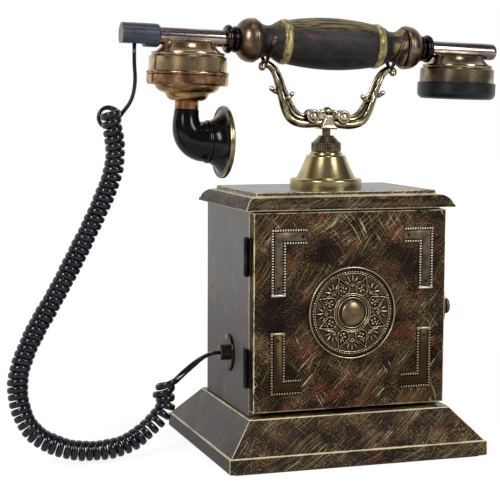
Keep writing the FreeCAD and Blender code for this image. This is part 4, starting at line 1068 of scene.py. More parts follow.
def door_strokes() -> tuple[Stroke, ...]:
    """Layers of dry brushing on the door, each in patches all over it and in places of its own."""
    upper_edge = (Spot(8.0, 160.0, 44.0, 15.0),)
    red_places = (Spot(34.0, 157.0, 12.0, 8.0), Spot(44.0, 88.0, 17.0, 6.0), Spot(-33.0, 74.0, 8.0, 10.0),
                  Spot(-18.0, 47.0, 16.0, 7.0))
    olive_places = (Spot(-29.0, 64.0, 10.0, 12.0), Spot(18.0, 63.0, 11.0, 14.0))
    return (
        Stroke("#54402c", 48.0, 30.0, 0.7, 20.0, 0.54, 0.50, 0.7, 16.0),
        Stroke("#84422d", 34.0, 22.0, 0.7, 12.0, 0.54, 0.61, 0.7, 16.0, red_places),
        Stroke("#7d7046", 58.0, 30.0, 0.5, 16.0, 0.60, 0.52, 0.85, 22.0, olive_places),
        Stroke("#7d7046", -40.0, 24.0, 0.5, 14.0, 0.62, 0.56, 0.75, 20.0),
        Stroke("#ddd2a6", 40.0, 26.0, 0.42, 13.0, 0.645, 0.55, 0.95, 22.0, upper_edge),
        Stroke("#ddd2a6", -55.0, 22.0, 0.42, 12.0, 0.65, 0.57, 0.95, 20.0, upper_edge),
    )


def door_bare_spots() -> tuple[Spot, ...]:
    """Places on the door where the dark ground shows."""
    return (Spot(-50.0, 102.0, 22.0, 17.0), Spot(-22.0, 145.0, 16.0, 11.0), Spot(36.0, 135.0, 16.0, 15.0))


def plinth_strokes() -> tuple[Stroke, ...]:
    """Flatter strokes on the plinth and the cornice."""
    return (
        Stroke("#54402c", 28.0, 34.0, 0.8, 22.0, 0.53, 0.48, 0.7),
        Stroke("#7c3724", 22.0, 26.0, 0.9, 13.0, 0.55, 0.60, 0.7),
        Stroke("#83764a", 30.0, 40.0, 0.5, 16.0, 0.58, 0.50, 0.85),
        Stroke("#83764a", 150.0, 22.0, 0.5, 14.0, 0.62, 0.56, 0.7),
        Stroke("#cfc398", 34.0, 36.0, 0.4, 15.0, 0.63, 0.52, 0.9),
    )


def wall_strokes() -> tuple[Stroke, ...]:
    """Fainter upright strokes on the side and rear boards."""
    return (
        Stroke("#3a2d22", 80.0, 40.0, 2.0, 30.0, 0.50, 0.48, 0.8),
        Stroke("#7a3c28", 98.0, 24.0, 1.6, 15.0, 0.56, 0.63, 0.85),
        Stroke("#8f8150", 70.0, 24.0, 1.3, 16.0, 0.60, 0.61, 0.9),
        Stroke("#e0d6a8", 86.0, 20.0, 1.0, 14.0, 0.64, 0.61, 0.95),
    )


GROUND = ("#0b0908", "#1d1510", "#44301f", "#7c6848")
PLAIN_GROUND = ("#0d0a09", "#1a1410", "#342820", "#3e3026")


def worn_edges(node: str, form: EdgeForm, width_mm: float, *heights: float) -> WornEdges:
    """Worn edges of a painted node of the frame.

    Args:
        node: its name.
        form: how its edges run.
        width_mm: how wide they are worn.
        heights: levels of the worn lines on a moulding.

    Returns:
        The edges, fitted to the node's box.
    """
    low, high = box_mm(node)
    return WornEdges(form, low, high, heights, width_mm)


@dataclass
class Cabinet:
    """Painted case: plinth, boards, cornice and top, with the cord flange on its left wall."""

    lip_top_z: float = 11.3
    plinth_top_z: float = 32.3
    cornice_low_z: float = 172.5
    cornice_high_z: float = 181.0

    def build(self) -> None:
        """Dresses the boards, then the fittings on them."""
        self.dress_plinth()
        self.dress_boards()
        self.dress_top()
        dress(BLACKED, "catch_magnet", "case_hinge_leaves", "hinge_pins")
        dress(BLACK_CHROME, "cord_flange")
        dress(STEEL, "flange_screws", "bottom_screws")
        dress(BRONZE, "cord_grommet")
        dress(BAKELITE, "line_jack")

    def dress_plinth(self) -> None:
        """Plinth with gilt along its lip and its mitres, and its bottom cover."""
        edges = worn_edges("base_plinth", EdgeForm.MOULDING, 0.5, self.lip_top_z, self.plinth_top_z)
        paint = BrushedPaint("plinth_paint", GROUND, plinth_strokes(), 3.1, edges, 0.3, 0.22, 1.5,
                             on_sides=0.35)
        dress(paint, "base_plinth")
        dress(CRACKLE, "bottom_cover")

    def dress_boards(self) -> None:
        """Side boards and rear board, each with its own worn edges."""
        for seed, node in ((14.0, "left_side_panel"), (31.0, "right_side_panel"), (47.0, "rear_panel")):
            edges = worn_edges(node, EdgeForm.BOX, 0.8)
            # Each board gets a painted grey sheen towards its foot.
            paint = BrushedPaint(f"{node}_paint", PLAIN_GROUND, wall_strokes(), seed, edges, 0.27, foot_sheen=0.25)
            dress(paint, node)

    def dress_top(self) -> None:
        """Cornice moulding and top board."""
        edges = worn_edges("top_cornice", EdgeForm.MOULDING, 0.42, self.cornice_low_z, self.cornice_high_z)
        paint = BrushedPaint("cornice_paint", GROUND, plinth_strokes(), 62.0, edges, 0.36, 0.08, 1.3)
        dress(paint, "top_cornice")
        edges = worn_edges("top_board", EdgeForm.BOX, 0.8)
        dress(BrushedPaint("top_paint", PLAIN_GROUND, plinth_strokes(), 77.0, edges, 0.25), "top_board")


@dataclass
class Underside:
    """Felt that the cabinet stands on, cut away around the screws."""

    corner_r: float = 4.0
    corner_steps: int = 6
    screw_head_r: float = 3.0
    screw_hole_r: float = 4.0
    hole_points: int = 24
    thickness_share: float = 0.98

    def build(self) -> None:
        """Cuts the felt to the plinth's foot."""
        low, high = box_mm("felt_pad")
        outline = self.rounded_outline(low, high)
        shaped = bmesh.new()
        self.draw_loop(shaped, outline)
        for x, y in self.screw_places():
            self.draw_loop(shaped, [(x + self.screw_hole_r * math.cos(a), y + self.screw_hole_r * math.sin(a))
                                    for a in around(self.hole_points)])
        bmesh.ops.triangle_fill(shaped, use_beauty=True, edges=shaped.edges)
        lifted = bmesh.ops.extrude_face_region(shaped, geom=shaped.faces[:])["geom"]
        rise = (high[2] - low[2]) * self.thickness_share * MM
        bmesh.ops.translate(shaped, vec=(0, 0, rise),
                            verts=[part for part in lifted if isinstance(part, bmesh.types.BMVert)])
        bmesh.ops.recalc_face_normals(shaped, faces=shaped.faces)
        mesh = bpy.data.meshes.new("felt_foot")
        shaped.to_mesh(mesh)
        shaped.free()
        felt = show("felt_foot", mesh)
        add_piece(felt, Body.CABINET, "felt", FELT, "felt_pad")

    def rounded_outline(self, low: Point3, high: Point3) -> list[Point2]:
        """Corners of the felt, rounded."""
        r = self.corner_r
        outline = []
        for x, y, start in ((high[0] - r, high[1] - r, 0), (low[0] + r, high[1] - r, 90),
                            (low[0] + r, low[1] + r, 180), (high[0] - r, low[1] + r, 270)):
            for step in range(self.corner_steps + 1):
                angle = math.radians(start + 90 / self.corner_steps * step)
                outline.append((x + r * math.cos(angle), y + r * math.sin(angle)))
        return outline

    def screw_places(self) -> list[Point2]:
        """Middles of the four screws in the bottom cover."""
        low, high = box_mm("bottom_screws")
        reach = (high[0] - low[0]) / 2
        deep = (high[1] - low[1]) / 2
        return [(sx * (reach - self.screw_head_r), sy * (deep - self.screw_head_r))
                for sx in (-1, 1) for sy in (-1, 1)]

    @staticmethod
    def draw_loop(shaped: bmesh.types.BMesh, outline: Sequence[Point2]) -> None:
        """Adds a closed loop of edges on the floor."""
        corners = [shaped.verts.new((x * MM, y * MM, 0.0)) for x, y in outline]
        for i, corner in enumerate(corners):
            shaped.edges.new((corner, corners[(i + 1) % len(corners)]))


@dataclass(frozen=True)
class PlateFit:
    """Corner and size of one corner plate, and the sides of the door that it lies on."""

    right: int
    up: int
    outer_x: float
    corner_z: float
    long_arm: float
    short_arm: float


@dataclass
class CornerPlates:
    """Four L-shaped plates with rows of beads on dark strips of painted shade and a bar across the long arm's
    end.
    """

    fits: tuple[PlateFit, ...] = (
        PlateFit(-1, 1, 58.0, 160.1, 45.4, 25.4), PlateFit(1, 1, 60.0, 159.2, 42.7, 21.6),
        PlateFit(-1, -1, 58.4, 47.7, 42.7, 22.5), PlateFit(1, -1, 59.2, 47.6, 42.1, 22.7))
    arm: float = 10.4
    plate_t: float = 1.2
    plate_edge: float = 0.35
    bead_r: float = 0.62
    bead_rise: float = 0.95
    bead_points: int = 6
    bead_across: float = 1.4
    bead_along: float = 0.88
    bead_pitch: float = 1.86
    bead_inset: float = 0.95
    shade_strip_width: float = 2.3
    shade_strip_t: float = 0.06
    shade_strip_inset: float = 0.4
    bar_t: float = 1.5
    bar_gap: float = 0.6
    bar_rise: float = 0.6
    bar_edge: float = 0.4

    def build(self, front_y: float) -> None:
        """Draws the plates on the door's face.

        Args:
            front_y: depth of the door's face.
        """
        sheets = Draft()
        bead_shades = Draft()
        beads = Draft()
        for fit in self.fits:
            place = self.placing(fit)
            sheets.add(self.one_plate(fit, front_y).moved(place))
            bead_shades.add(self.bead_shade_strips(fit, front_y).moved(place))
            beads.add(self.one_border(fit, front_y).moved(place))
        add_piece(sheets.piece("corner_plate_sheets"), Body.DOOR, "antique_bronze", PLATE_BRONZE,
                  "corner_plates")
        # Dark strips of painted shade under the beads.
        add_piece(bead_shades.piece("corner_plate_bead_shade"), Body.DOOR, "antique_bronze", BEAD_SHADE_BRONZE)
        # The beads' near-white colour is a painted highlight.
        add_piece(beads.piece("corner_plate_beads"), Body.DOOR, "antique_bronze", BEAD_HIGHLIGHT_BRONZE)

    @staticmethod
    def placing(fit: PlateFit) -> Callable[[Vector], Vector]:
        """The move that takes a plate from its own corner to its corner of the door."""
        return lambda p: Vector((fit.right * (fit.outer_x - p.x), p.y, fit.corner_z - fit.up * p.z))

    def one_plate(self, fit: PlateFit, front_y: float) -> Draft:
        """One plate, its corner at zero and its arms towards positive x and z."""
        draft = Draft()
        outline = [(0, 0), (fit.short_arm, 0), (fit.short_arm, self.arm), (self.arm, self.arm),
                   (self.arm, fit.long_arm), (0, fit.long_arm)]
        draft.slab(outline, front_y, front_y - self.plate_t, self.plate_edge)
        return draft

    def bead_shade_strips(self, fit: PlateFit, front_y: float) -> Draft:
        """Dark strips of painted shade along one plate's outer and inner edges, under and between its beads.
        """
        draft = Draft()
        inset = self.shade_strip_inset
        last = fit.long_arm - self.bar_t
        end = fit.short_arm - inset
        corner = self.arm - self.shade_strip_width
        rim = self.arm - inset
        outer = [(inset, inset), (end, inset), (end, self.shade_strip_width), (self.shade_strip_width, self.shade_strip_width),
                 (self.shade_strip_width, last), (inset, last)]
        inner = [(corner, corner), (end, corner), (end, rim), (rim, rim), (rim, last), (corner, last)]
        face_y = front_y - self.plate_t
        for outline in (outer, inner):
            draft.slab(outline, face_y, face_y - self.shade_strip_t)
        return draft

    def one_border(self, fit: PlateFit, front_y: float) -> Draft:
        """Rows of beads and the end bar of one plate."""
        face_y = front_y - self.plate_t
        draft = Draft()
        low = self.bead_inset
        high = self.arm - self.bead_inset
        last = fit.long_arm - self.bar_t - self.bar_gap
        end = fit.short_arm - low
        runs = (((low, low), (low, last)), ((low, low), (end, low)),
                ((high, high), (high, last)), ((high, high), (end, high)))
        for (x0, z0), (x1, z1) in runs:
            count = max(1, round(max(x1 - x0, z1 - z0) / self.bead_pitch))
            across, along = self.bead_across, self.bead_along
            scale = (along, self.bead_rise, across) if z0 == z1 else (across, self.bead_rise, along)
            for i in range(count + 1):
                place = Vector((x0 + (x1 - x0) * i / count, face_y, z0 + (z1 - z0) * i / count))
                draft.ball(place, self.bead_r, scale, self.bead_points)
        bar = [(0, fit.long_arm - self.bar_t), (self.arm, fit.long_arm - self.bar_t),
               (self.arm, fit.long_arm), (0, fit.long_arm)]
        draft.slab(bar, front_y, face_y - self.bar_rise, self.bar_edge)
        return draft


@dataclass
class Medallion:
    """Round relief on the door: rim, beads, cartouches with leaves, rings and a dome."""

    radius: float = 31.75
    base_t: float = 1.7
    rim_half: float = 0.7
    rim_rise: float = 1.3
    plain_rings: tuple[Point3, ...] = (
        (26.9, 0.3, 0.4), (10.3, 0.5, 0.8), (12.0, 0.45, 0.8), (13.2, 0.5, 0.9))
    ornament_from_r: float = 13.4
    ornament_to_r: float = 29.2
    bead_ring_r: float = 28.1
    bead_count: int = 96
    bead_half: float = 0.72
    bead_rise: float = 0.8
    cartouche_count: int = 8
    round_end_r: float = 17.4
    round_end_half: float = 4.3
    tip_r: float = 25.6
    berries: tuple[Point3, ...] = (
        (0.0, 15.6, 0.95), (1.75, 17.2, 0.9), (-1.75, 17.2, 0.9), (0.0, 18.4, 0.9), (1.2, 20.0, 0.65),
        (-1.2, 20.0, 0.65), (0.0, 21.6, 0.6))
    stem_end_r: float = 22.0
    leaf_rise: float = 0.85
    leaf_root_r: float = 18.2
    leaf_lean: float = 0.52
    leaf_length: float = 8.4
    leaf_shorter: float = 0.75
    dome_r: float = 8.4
    dome_foot: float = 0.6
    dome_rise: float = 3.0
    middle_share: float = 0.004
    rows: int = 150
    columns: int = 720

    def build(self, front_y: float) -> None:
        """Draws the relief on the door's face.

        Args:
            front_y: depth of the door's face.
        """
        low, high = box_mm("medallion")
        centre_x = (low[0] + high[0]) / 2
        centre_z = (low[2] + high[2]) / 2
        rings = []
        for k in range(self.rows + 1):
            r = self.radius * max(k / self.rows, self.middle_share)
            ring = []
            for angle in around(self.columns):
                x = centre_x + r * math.cos(angle)
                z = centre_z + r * math.sin(angle)
                ring.append(Vector((x, front_y - self.height(r, angle), z)))
            rings.append(ring)
        foot = [Vector((point.x, front_y, point.z)) for point in rings[-1]]
        edge = math.ceil(self.dome_r / self.radius * self.rows)
        draft = Draft()
        draft.rings(rings[edge:] + [foot])
        piece = draft.piece("relief_medallion")
        mark_relief(piece, rounds=8, gain=2.6)
        add_piece(piece, Body.DOOR, "antique_bronze", CAST_BRONZE, "medallion")
        boss = Draft()
        boss.rings(rings[:edge + 1])
        add_piece(boss.piece("medallion_boss"), Body.DOOR, "antique_bronze", BOSS_BRONZE)

    @staticmethod
    def ridge(distance: float, half: float, rise: float) -> float:
        """Height of a rounded ridge at a distance from its middle line."""
        share = abs(distance) / half
        return rise * math.sqrt(1 - share * share) if share < 1 else 0.0

    def height(self, r: float, angle: float) -> float:
        """Height of the relief above the door at a radius and an angle."""
        if r < self.dome_r:
            share = r / self.dome_r
            lift = self.dome_rise * math.sqrt(1 - share * share) + self.ridge(r, half=1.0, rise=0.45)
            return self.base_t + self.dome_foot + lift
        rise = self.ridge(r - self.radius + self.rim_half, self.rim_half, self.rim_rise)
        for ring_r, half, lift in self.plain_rings:
            rise = max(rise, self.ridge(r - ring_r, half, lift))
        if self.ornament_from_r < r < self.ornament_to_r:
            rise = max(rise, self.ornament(r, angle))
        return self.base_t + rise

    def ornament(self, r: float, angle: float) -> float:
        """Height of the ornament between the inner rings and the rim."""
        step = math.tau / self.cartouche_count
        bead_step = math.tau / self.bead_count
        bead_turn = (angle / bead_step + 0.5) % 1 - 0.5
        bead = math.hypot(r - self.bead_ring_r, bead_turn * bead_step * r)
        rise = self.ridge(bead, self.bead_half, self.bead_rise)
        turn = (angle / step) % 1 - 0.5
        across = r * math.sin(turn * step)
        out = r * math.cos(turn * step)
        rise = max(rise, self.cartouche(across, out))
        fan_turn = (angle / step + 0.5) % 1 - 0.5
        return max(rise, self.palmette(r * math.sin(fan_turn * step), r * math.cos(fan_turn * step)))

    def cartouche(self, across: float, out: float) -> float:
        """A drop-shaped frame with a sprig in it."""
        share = min(max((out - self.round_end_r) / (self.tip_r - self.round_end_r), 0), 1)
        middle = self.round_end_r + share * (self.tip_r - self.round_end_r)
        edge = math.hypot(across, out - middle) - self.round_end_half * (1 - 0.93 * share)
        rise = self.ridge(edge, half=0.4, rise=1.0)
        if edge < 0:
            for place_x, place_r, half in self.berries:
                apart = math.hypot(across - place_x, out - place_r)
                rise = max(rise, self.ridge(apart, half, self.leaf_rise))
            rise = max(rise, self.ridge(across, half=0.3, rise=0.5) if out < self.stem_end_r else 0.0)
        return rise

    def palmette(self, across: float, out: float) -> float:
        """A fan of five leaves between two cartouches."""
        reach = math.hypot(across, out - self.leaf_root_r)
        lean = math.atan2(across, out - self.leaf_root_r)
        rise = self.ridge(reach, half=0.9, rise=0.9)
        for leaf in (-2, -1, 0, 1, 2):
            off = lean - leaf * self.leaf_lean
            length = self.leaf_length - self.leaf_shorter * abs(leaf)
            if 1.2 < reach < length and abs(off) < 0.6:
                half = 0.95 * math.sin(math.pi * (reach / length) ** 0.7) + 0.1
                rise = max(rise, self.ridge(reach * math.sin(off), half, self.leaf_rise))
        return rise


@dataclass
class Door:
    """Painted front door with its hinge leaves, pull, catch plate, corner plates and medallion."""

    def build(self) -> None:
        """Dresses the panel and hangs the ornament on it."""
        (_, front_y, _), _ = box_mm("door_panel")
        edges = worn_edges("door_panel", EdgeForm.BOX, 0.95)
        paint = BrushedPaint("door_paint", GROUND, door_strokes(), 23.0, edges, 0.42, 0.05, 1.15,
                             door_bare_spots())
        dress(paint, "door_panel")
        dress(BRONZE, "door_pull")
        dress(BLACKED, "plate_nails", "door_hinge_leaves")
        dress(STEEL, "catch_strike")
        CornerPlates().build(front_y)
        Medallion().build(front_y)


@dataclass
class Dial:
    """Rotary dial behind the door, with a figure under each finger hole."""

    centre_z: float = 104.0
    face_y: float = -23.8
    figure_r: float = 27.0
    first_deg: float = 30.0
    step_deg: float = 30.0
    figures: str = "1234567890"
    figure_mm: float = 7.0
    figure_t: float = 0.06

    def build(self) -> None:
        """Dresses the dial and lays the figures on its ring."""
        dress(CRACKLE, "dial_fascia")
        dress(BLACKED, "dial_body")
        dress(ENAMEL, "number_ring")
        dress(DARK_BRASS, "finger_stop", "finger_wheel")
        dress(BRASS, "dial_cap")
        dress(STEEL, "dial_spindle")
        draft = Draft()
        for place, figure in enumerate(self.figures):
            self.add_figure(draft, figure, math.radians(self.first_deg + place * self.step_deg))
        add_piece(draft.piece("dial_figures"), Body.CABINET, "black_bakelite", FIGURES)

    def add_figure(self, draft: Draft, figure: str, angle: float) -> None:
        """Draws one figure at its angle on the ring."""
        text = bpy.data.curves.new("figure", "FONT")
        text.body = figure
        text.size = self.figure_mm
        text.extrude = self.figure_t / 2
        text.align_x = "CENTER"
        text.align_y = "CENTER"
        points, faces = drawn(text)
        x = self.figure_r * math.cos(angle)
        y = self.face_y - self.figure_t / 2
        z = self.centre_z + self.figure_r * math.sin(angle)
        letter = Draft()
        letter.points = [Vector((x + point.x, y - point.z, z + point.y)) for point in points]
        letter.faces = faces
        draft.add(letter)


@dataclass
class Workings:
    """Ringer, switch and board inside the cabinet."""

    def build(self) -> None:
        """Dresses each working piece."""
        dress(STEEL, "ringer_frame", "hook_spring", "switch_lever", "clapper")
        dress(COIL_WIRE, "ringer_coils")
        dress(BRASS, "ringer_gongs")
        dress(BOARD, "circuit_board")
        dress(BAKELITE, "hook_switch")
        dress(BLACKED, "capsule_inserts")


@dataclass
class Cradle:
    """Bell pedestal, nut, post and the cast scroll yoke that the handset lies in."""

    foot: Point3 = (1.5, 0.0, 225.2)
    lean_deg: float = 1.8
    handset_height: float = 59.6
    neck_r: float = 10.75
    fork_x: float = 47.4
    fork_half_deg: float = 48.5
    fork_rod_r: float = 1.4
    fork_clearance: float = 0.45
    fork_reach: float = 20.4
    fork_ball_extra: float = 0.1
    volute_x: float = 11.5
    volute_z: float = 8.6
    volute_r: float = 4.4
    rim_r: float = 3.8
    rim_inset: float = 0.9
    rim_from_deg: float = -60.0
    rim_turn_deg: float = 300.0
    rim_steps: int = 32
    volute_half: float = 5.0
    leaf_depths: Point3 = (1.2, 2.9, 2.2)
    side_leaf: tuple[Point3, ...] = ((1.0, 2.0, 12.0), (4.4, 3.6, 13.4), (6.4, 4.2, 11.4))
    block_half: float = 5.4
    shield_half: float = 6.3
    grain_mm: float = 0.32

    def build(self) -> None:
        """Dresses the pedestal and casts the yoke."""
        dress(BRASS, "pedestal_bell")
        dress(BRONZE, "pedestal_nut", "hook_post")
        whole = self.both_sides(self.arm())
        whole.add(self.middle())
        piece = whole.moved(self.leaned).piece("scroll_yoke")
        cast_together(piece, self.grain_mm, rounds=3)
        # Painted shade on the yoke's undersides.
        mark_relief(piece, rounds=10, gain=2.0, under=0.24)
        add_piece(piece, Body.HOOK, "antique_brass", CAST_BRASS, "cradle_yoke")
        shield = self.shield().moved(self.leaned).piece("yoke_shield")
        cast_together(shield, self.grain_mm, rounds=2)
        add_piece(shield, Body.HOOK, "antique_brass", SHIELD_BRASS)
        forks = self.both_sides(self.fork()).moved(self.leaned).piece("yoke_forks")
        add_piece(forks, Body.HOOK, "antique_copper", FORK_COPPER)

    @staticmethod
    def both_sides(right: Draft) -> Draft:
        """Forms of the right side together with their mirror image."""
        both = Draft()
        both.add(right)
        both.add(right.moved(lambda p: Vector((-p.x, p.y, p.z))))
        return both

    def leaned(self, point: Vector) -> Vector:
        """Place of a point of the upright yoke once it leans."""
        turn = math.radians(self.lean_deg)
        across = point.x * math.cos(turn) + point.z * math.sin(turn)
        up = point.z * math.cos(turn) - point.x * math.sin(turn)
        return Vector((across, point.y, up)) + Vector(self.foot)

    @staticmethod
    def front_line(places: Sequence[Point2], y: float = 0.0) -> list[Vector]:
        """A smooth line in the front view, at one depth."""
        return smooth_line([Vector((x, y, z)) for x, z in places])

    def arm(self) -> Draft:
        """Right arm: two ribs with a groove between, leaves, buds and a scroll at each end."""
        draft = Draft()
        rib = [(3.0, 4.6), (12.0, 3.4), (20.0, 3.4), (27.4, 6.0), (31.6, 12.6), (34.2, 20.6), (37.0, 29.6),
               (39.4, 36.6), (42.8, 42.0), (47.6, 44.2), (50.3, 42.5), (49.7, 40.6)]
        draft.rod(self.front_line(rib), (3.0, 3.1, 3.1, 2.9, 2.7, 2.5, 2.4, 2.3, 2.4, 2.3))
        draft.ball(Vector((49.4, 0, 41.4)), 2.5, (1, 1.2, 1))
        inner = [(14.5, 9.0), (18.5, 9.2), (23.0, 11.4), (26.6, 16.4), (29.9, 22.4), (33.4, 30.2),
                 (36.2, 37.2), (40.4, 42.4), (45.2, 44.8)]
        draft.rod(self.front_line(inner), (1.0, 1.3, 1.4, 1.3, 1.2, 1.2, 1.0), count=12)
        web = [(16.0, 6.6), (20.0, 6.4), (25.2, 9.0), (29.2, 14.6), (31.8, 21.6), (34.6, 30.0), (37.2, 37.0),
               (41.4, 42.4), (46.0, 44.4)]
        draft.rod(self.front_line(web), (2.2, 2.2), side=ACROSS, squash=0.45)
        for side in (-1, 1):
            self.add_leaves(draft, side)
            self.add_volute_face(draft, side)
        volute = [Vector((self.volute_x, y, self.volute_z)) for y in (-self.volute_half, 0, self.volute_half)]
        draft.rod(volute, (self.volute_r, self.volute_r), side=ACROSS, count=32)
        outer_bud = [(34.8, 25.6), (38.0, 24.8), (40.4, 25.2), (41.8, 26.8)]
        draft.rod(self.front_line(outer_bud), (2.2, 1.8, 1.5, 1.4))
        draft.ball(Vector((42.0, 0, 27.0)), 1.95, (1, 1.25, 1))
        inner_bud = [(33.4, 21.4), (30.2, 20.6), (28.0, 21.6), (26.6, 23.6)]
        draft.rod(self.front_line(inner_bud), (2.2, 1.7, 1.4, 1.3))
        draft.ball(Vector((26.6, 0, 23.8)), 1.8, (1, 1.25, 1))
        draft.ball(Vector((29.4, 0, 22.6)), 1.3, (1, 1.2, 1))
        return draft

    def add_leaves(self, draft: Draft, side: int) -> None:
        """Overlapping leaves on the front or back of the arm."""
        lower = ((29.0, 8.4), (33.0, 16.0), (35.0, 25.6))
        upper = ((34.6, 23.4), (37.6, 31.0), (40.8, 38.4))
        for places, half in ((lower, 2.0), (upper, 1.7)):
            route = [Vector((x, side * depth, z)) for (x, z), depth in zip(places, self.leaf_depths)]
            draft.rod(smooth_line(route), (0.7, half, 0.9 * half, 0.4), side=ACROSS, squash=0.5)

    def add_volute_face(self, draft: Draft, side: int) -> None:
        """Rolled rim on the front or back of the volute."""
        line = []
        y = side * (self.volute_half - self.rim_inset)
        for k in range(self.rim_steps + 1):
            angle = math.radians(self.rim_from_deg + self.rim_turn_deg * k / self.rim_steps)
            x = self.volute_x + self.rim_r * math.cos(angle)
            line.append(Vector((x, y, self.volute_z + self.rim_r * math.sin(angle))))
        draft.rod(line, (0.6, 1.3, 1.4, 1.3, 0.6), count=12)

    def fork(self) -> Draft:
        """Two prongs that hold the handset's neck."""
        draft = Draft()
        half = math.radians(self.fork_half_deg)
        reach = self.neck_r + self.fork_rod_r + self.fork_clearance
        vertex = Vector((self.fork_x, 0, self.handset_height - reach / math.sin(half)))
        for side in (-1, 1):
            tip = vertex + Vector((0, side * self.fork_reach, self.fork_reach / math.tan(half)))
            line = [vertex.lerp(tip, share) for share in (0, 0.25, 0.5, 0.75, 1)]
            draft.rod(line, (self.fork_rod_r, self.fork_rod_r), side=ACROSS, count=14)
            draft.ball(tip, self.fork_rod_r + self.fork_ball_extra)
        return draft

    @staticmethod
    def even_outline(right: Sequence[Point2]) -> list[Point2]:
        """An outline that is the same on both sides, from its right half upward."""
        left = [(-x, z) for x, z in right]
        return [left[0], *right, *reversed(left[1:])]

    def middle(self) -> Draft:
        """Block between the arms with its side leaves and the ball on top."""
        draft = Draft()
        block = self.even_outline([(5.6, 0.0), (3.0, 5.0), (2.8, 9.0), (3.6, 11.0)])
        draft.slab(block, self.block_half, -self.block_half, 0.9)
        for side in (-1, 1):
            for turn in (-1, 1):
                leaf = smooth_line([Vector((turn * x, side * y, z)) for x, y, z in self.side_leaf])
                draft.rod(leaf, (1.3, 1.3, 0.7), count=12)
        draft.ball(Vector((0, 0, 12.4)), 3.6, (1, 1, 0.95))
        return draft

    def shield(self) -> Draft:
        """Pale shield around the block, with a rolled lip at its foot, and the caps of the volutes."""
        draft = Draft()
        outline = self.even_outline([(6.6, 0.0), (5.8, 2.4), (4.2, 5.2), (3.4, 8.0), (3.9, 10.6)])
        draft.slab(outline, self.shield_half, -self.shield_half, 1.2)
        for side in (-1, 1):
            lip = [Vector((x, side * 5.7, 1.1)) for x in (-6.0, -3.0, 0.0, 3.0, 6.0)]
            draft.rod(lip, (0.8, 1.15, 1.15, 0.8), count=12)
            for turn in (-1, 1):
                draft.ball(Vector((turn * self.volute_x, side * 4.6, self.volute_z)), 3.0, (1, 0.6, 1))
        return draft


@dataclass
class Handset:
    """Turned grip on a metal tube between the transmitter with its horn and the receiver."""

    band_at: float = 35.0
    band_half: float = 2.6

    def build(self, cradle: Cradle) -> None:
        """Dresses each piece of the handset.

        Args:
            cradle: what the handset lies in, which gives its lean and height.
        """
        pivot = (cradle.foot[0], cradle.foot[2])
        dress(GripLacquer("grip_lacquer", pivot, cradle.lean_deg, cradle.handset_height, self.band_at,
                          self.band_half), "handle_grip")
        dress(DARK_COPPER, "grip_end_domes")
        dress(BLACK_CHROME, "tube_collars")
        dress(DARK_CHROME, "handset_tube")
        dress(PLUG, "cord_plug")
        dress(CASE_BRASS, "transmitter_case")
        dress(CAP_BRASS, "receiver_case")
        dress(DARK_BRASS, "horn_rim")
        dress(RING_COPPER, "transmitter_ring")
        dress(COVER_BRONZE, "transmitter_cover")
        dress(COPPER, "mouth_collar")
        dress(BAKELITE, "mouth_elbow", "mouth_horn")
        dress(EAR_CAP, "receiver_cap")


@dataclass(frozen=True)
class TurnShape:
    """How one turn of the curl departs from an even one.

    Args:
        radius: its radius as a share of the even radius.
        slip_mm: how far it slips along the curl.
        tip: how far its plane is tipped, near side up, in radians.
        heel_mm: how far its right side is lifted along the curl.
        shift_mm: how far it has moved off the curl's middle line.
    """

    radius: float
    slip_mm: float
    tip: float
    heel_mm: float
    shift_mm: Vector


def eased(value: float) -> float:
    """A value held between 0 and 1, with soft ends."""
    held = min(max(value, 0.0), 1.0)
    return held * held * (3.0 - 2.0 * held)


